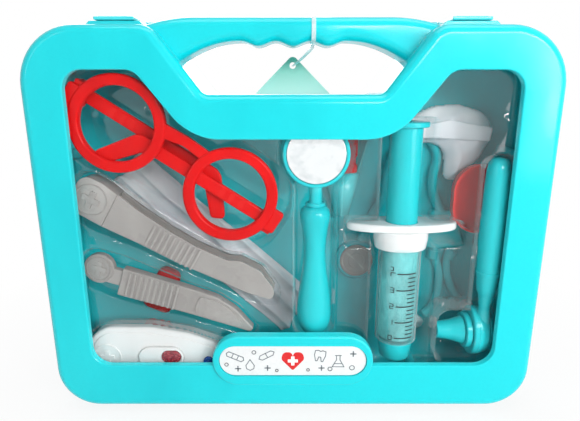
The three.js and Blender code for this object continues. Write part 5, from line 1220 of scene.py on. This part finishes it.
def label():
    """The plaque's label: a white card with a red heart that holds a white plus, and grey line pictures of a
    capsule, a drop, a tooth, a flask, a plaster and small plus signs."""
    top, ink = 27.0, 27.06
    red_ink, grey_ink, white_ink = 1, 2, 3

    def line(points, wide=0.5):
        """A drawn line: one thin round-ended bar along each of its runs."""
        parts = []
        for (x0, y0), (x1, y1) in zip(points, points[1:]):
            run, half = Vector((x1 - x0, y1 - y0)), wide / 2
            stroke = plate(rounded_box(-half, run.length + half, -half, half, half), top, ink, 0, 0, 1, 45)
            parts.append(tinted(moved(stroke, x0, y0, 0, math.degrees(math.atan2(run.y, run.x))), grey_ink))
        return parts

    def circle(x, y, r):
        turns = [2 * math.pi * i / 14 for i in range(15)]
        return line([(x + r * math.cos(turn), y + r * math.sin(turn)) for turn in turns], 0.45)

    def lozenge(side, tip):
        return [(-side, 1.5), (side, 1.5), (tip, 0), (side, -1.5), (-side, -1.5), (-tip, 0), (-side, 1.5)]

    def picture(x, y, turn, *lines):
        return [moved(stroke, x, y, 0, turn) for points in lines for stroke in line(points)]

    base = plate(rounded_box(-42, 42, -9.3, 9.3, 9.3), 26.6, top, 0.1, 0, 1, 7)
    heart = tinted(plate([(0, -6.2, 1.0), (6.6, 1.0, 2.4), (5.6, 5.6, 3.4), (0.9, 5.4, 2.6), (0, 2.9, 0.3),
                          (-0.9, 5.4, 2.6), (-5.6, 5.6, 3.4), (-6.6, 1.0, 2.4)], top, ink, 0, 0, 1, 9), red_ink)
    cross = tinted(plus(0, 0, 2.9, top, ink + 0.05, 0), white_ink)
    drop = [(0, 4), (2.4, 0.2), (2.1, -1.8), (0, -2.9), (-2.1, -1.8), (-2.4, 0.2), (0, 4)]
    tooth = [(-3, 3), (-1.2, 3.4), (0, 2.8), (1.2, 3.4), (3, 3), (3.2, 0.4), (2.1, -3.4), (1.2, -3.4), (0.6, -0.8),
             (-0.6, -0.8), (-1.2, -3.4), (-2.1, -3.4), (-3.2, 0.4), (-3, 3)]
    flask = [(-1, 4), (-1, 1.2), (-3.4, -3.2), (3.4, -3.2), (1, 1.2), (1, 4)]
    art = picture(-15, 3.4, 28, lozenge(3.4, 4.9), [(0, 1.5), (0, -1.5)]) + picture(-24.5, -3.2, 0, drop)
    art += picture(15.5, 3.2, -8, tooth)
    art += picture(26, -0.6, 0, flask, [(-1.7, 4), (1.7, 4)], [(-2.3, -1.2), (2.3, -1.2)])
    art += picture(-33, 2.6, -24, lozenge(4.4, 5.4), [(-1.6, 1.5), (-1.6, -1.5)], [(1.6, 1.5), (1.6, -1.5)])
    for x, y in ((-14.5, -4.6), (16.5, -4.6), (-31.5, -5), (34.5, 4.4)):
        art += line([(x - 1.5, y), (x + 1.5, y)], 0.75) + line([(x, y - 1.5), (x, y + 1.5)], 0.75)
    for x, y, r in ((-22.2, 5.4, 1.1), (21.4, -5.2, 1.2), (34, -4.4, 1.4), (8.8, -5.8, 0.8), (-9.2, -6.2, 0.8),
                    (-38, -2.4, 1.0)):
        art += circle(x, y, r)
    piece("plaque_label_print", joined(base, heart, cross, *art), "cover", label_card, "plaque_label", sharp=40,
          weighted=False, place=(0, 34.4, 0))


nose_scope()
stethoscope()
kidney_dish()
hammer()
folded_strip()
nurse_cap()
label()


# ---------------------------------------------------------------- floor, backdrop and studio light
def pale_floor():
    """White paper: it keeps the case's shadow near by and runs into the white backdrop further off."""
    bm = bmesh.new()
    bmesh.ops.create_grid(bm, x_segments=2, y_segments=2, size=6)
    mesh = bpy.data.meshes.new("studio_floor")
    bm.to_mesh(mesh)
    bm.free()
    floor = bpy.data.objects.new("studio_floor", mesh)
    bpy.context.scene.collection.objects.link(floor)
    f = Finish("studio_paper")
    f.tree.nodes.remove(f.skin)
    paper = f.add("ShaderNodeBsdfDiffuse", Color=(0.86, 0.86, 0.86, 1))
    glow = f.add("ShaderNodeEmission", Color=(1, 1, 1, 1), Strength=1.0)
    path = f.add("ShaderNodeLightPath").outputs
    seen = f.mix(1.0, path["Is Camera Ray"], path["Is Glossy Ray"], "ADD")
    seen = f.mix(1.0, seen, path["Is Transmission Ray"], "ADD")
    away = f.add("ShaderNodeVectorMath")
    away.operation = "LENGTH"
    f.link(f.coords, away.inputs[0])
    # the case's shadow shows close by and fades out further off
    share = f.ramp(away.outputs["Value"], (0.1, 0.86), (0.32, 1.0))
    both = f.blend(f.mix(1.0, seen, share, "MULTIPLY"), paper, glow)
    f.link(both.outputs[0], f.out.inputs["Surface"])
    mesh.materials.append(f.material)


def backdrop():
    """A plain grey-white studio all round, seen as white where the camera, gloss and glass meet it."""
    studio = bpy.data.worlds.new("studio")
    studio.use_nodes = True
    n = Nodes(studio.node_tree)
    plain = n.tree.nodes["Background"]
    plain.inputs["Color"].default_value = (0.97, 0.99, 1.0, 1)
    plain.inputs["Strength"].default_value = 0.17
    white_wall = n.add("ShaderNodeBackground", Color=(1, 1, 1, 1), Strength=1.0)
    path = n.add("ShaderNodeLightPath").outputs
    seen = n.reckon("MAXIMUM", path["Is Camera Ray"], path["Is Glossy Ray"])
    seen = n.reckon("MAXIMUM", seen, path["Is Transmission Ray"])
    n.link(n.blend(seen, plain, white_wall).outputs[0], n.tree.nodes["World Output"].inputs["Surface"])
    bpy.context.scene.world = studio


def softbox(name, place, aim, size, power):
    lamp = bpy.data.lights.new(name, "AREA")
    lamp.shape = "RECTANGLE"
    lamp.size, lamp.size_y = size
    lamp.energy = power
    obj = bpy.data.objects.new(name, lamp)
    obj.location = place
    obj.rotation_euler = (Vector(aim) - Vector(place)).to_track_quat("-Z", "Y").to_euler()
    bpy.context.scene.collection.objects.link(obj)
    obj.visible_camera = False


pale_floor()
backdrop()
for lamp in (("softbox_right", (0.72, -0.75, 0.16), (0.02, 0, 0.11), (0.5, 0.5), 2.4),
             ("softbox_front", (0.32, -0.64, 0.37), (0.02, 0, 0.1), (0.5, 0.1), 3.35),
             ("softbox_top", (0.05, -0.1, 1.0), (0, 0, 0.1), (0.9, 0.5), 3.6),
             ("softbox_back", (-0.25, 0.95, 0.5), (0, 0, 0.1), (0.7, 0.6), 6.0),
             ("strip_right", (0.45, -0.6, 0.35), (0.02, 0, 0.11), (0.014, 0.5), 0.8),
             ("strip_left", (-0.5, -0.55, 0.35), (0, 0, 0.11), (0.014, 0.5), 0.4)):
    softbox(*lamp)
bpy.context.scene.view_settings.view_transform = "Standard"
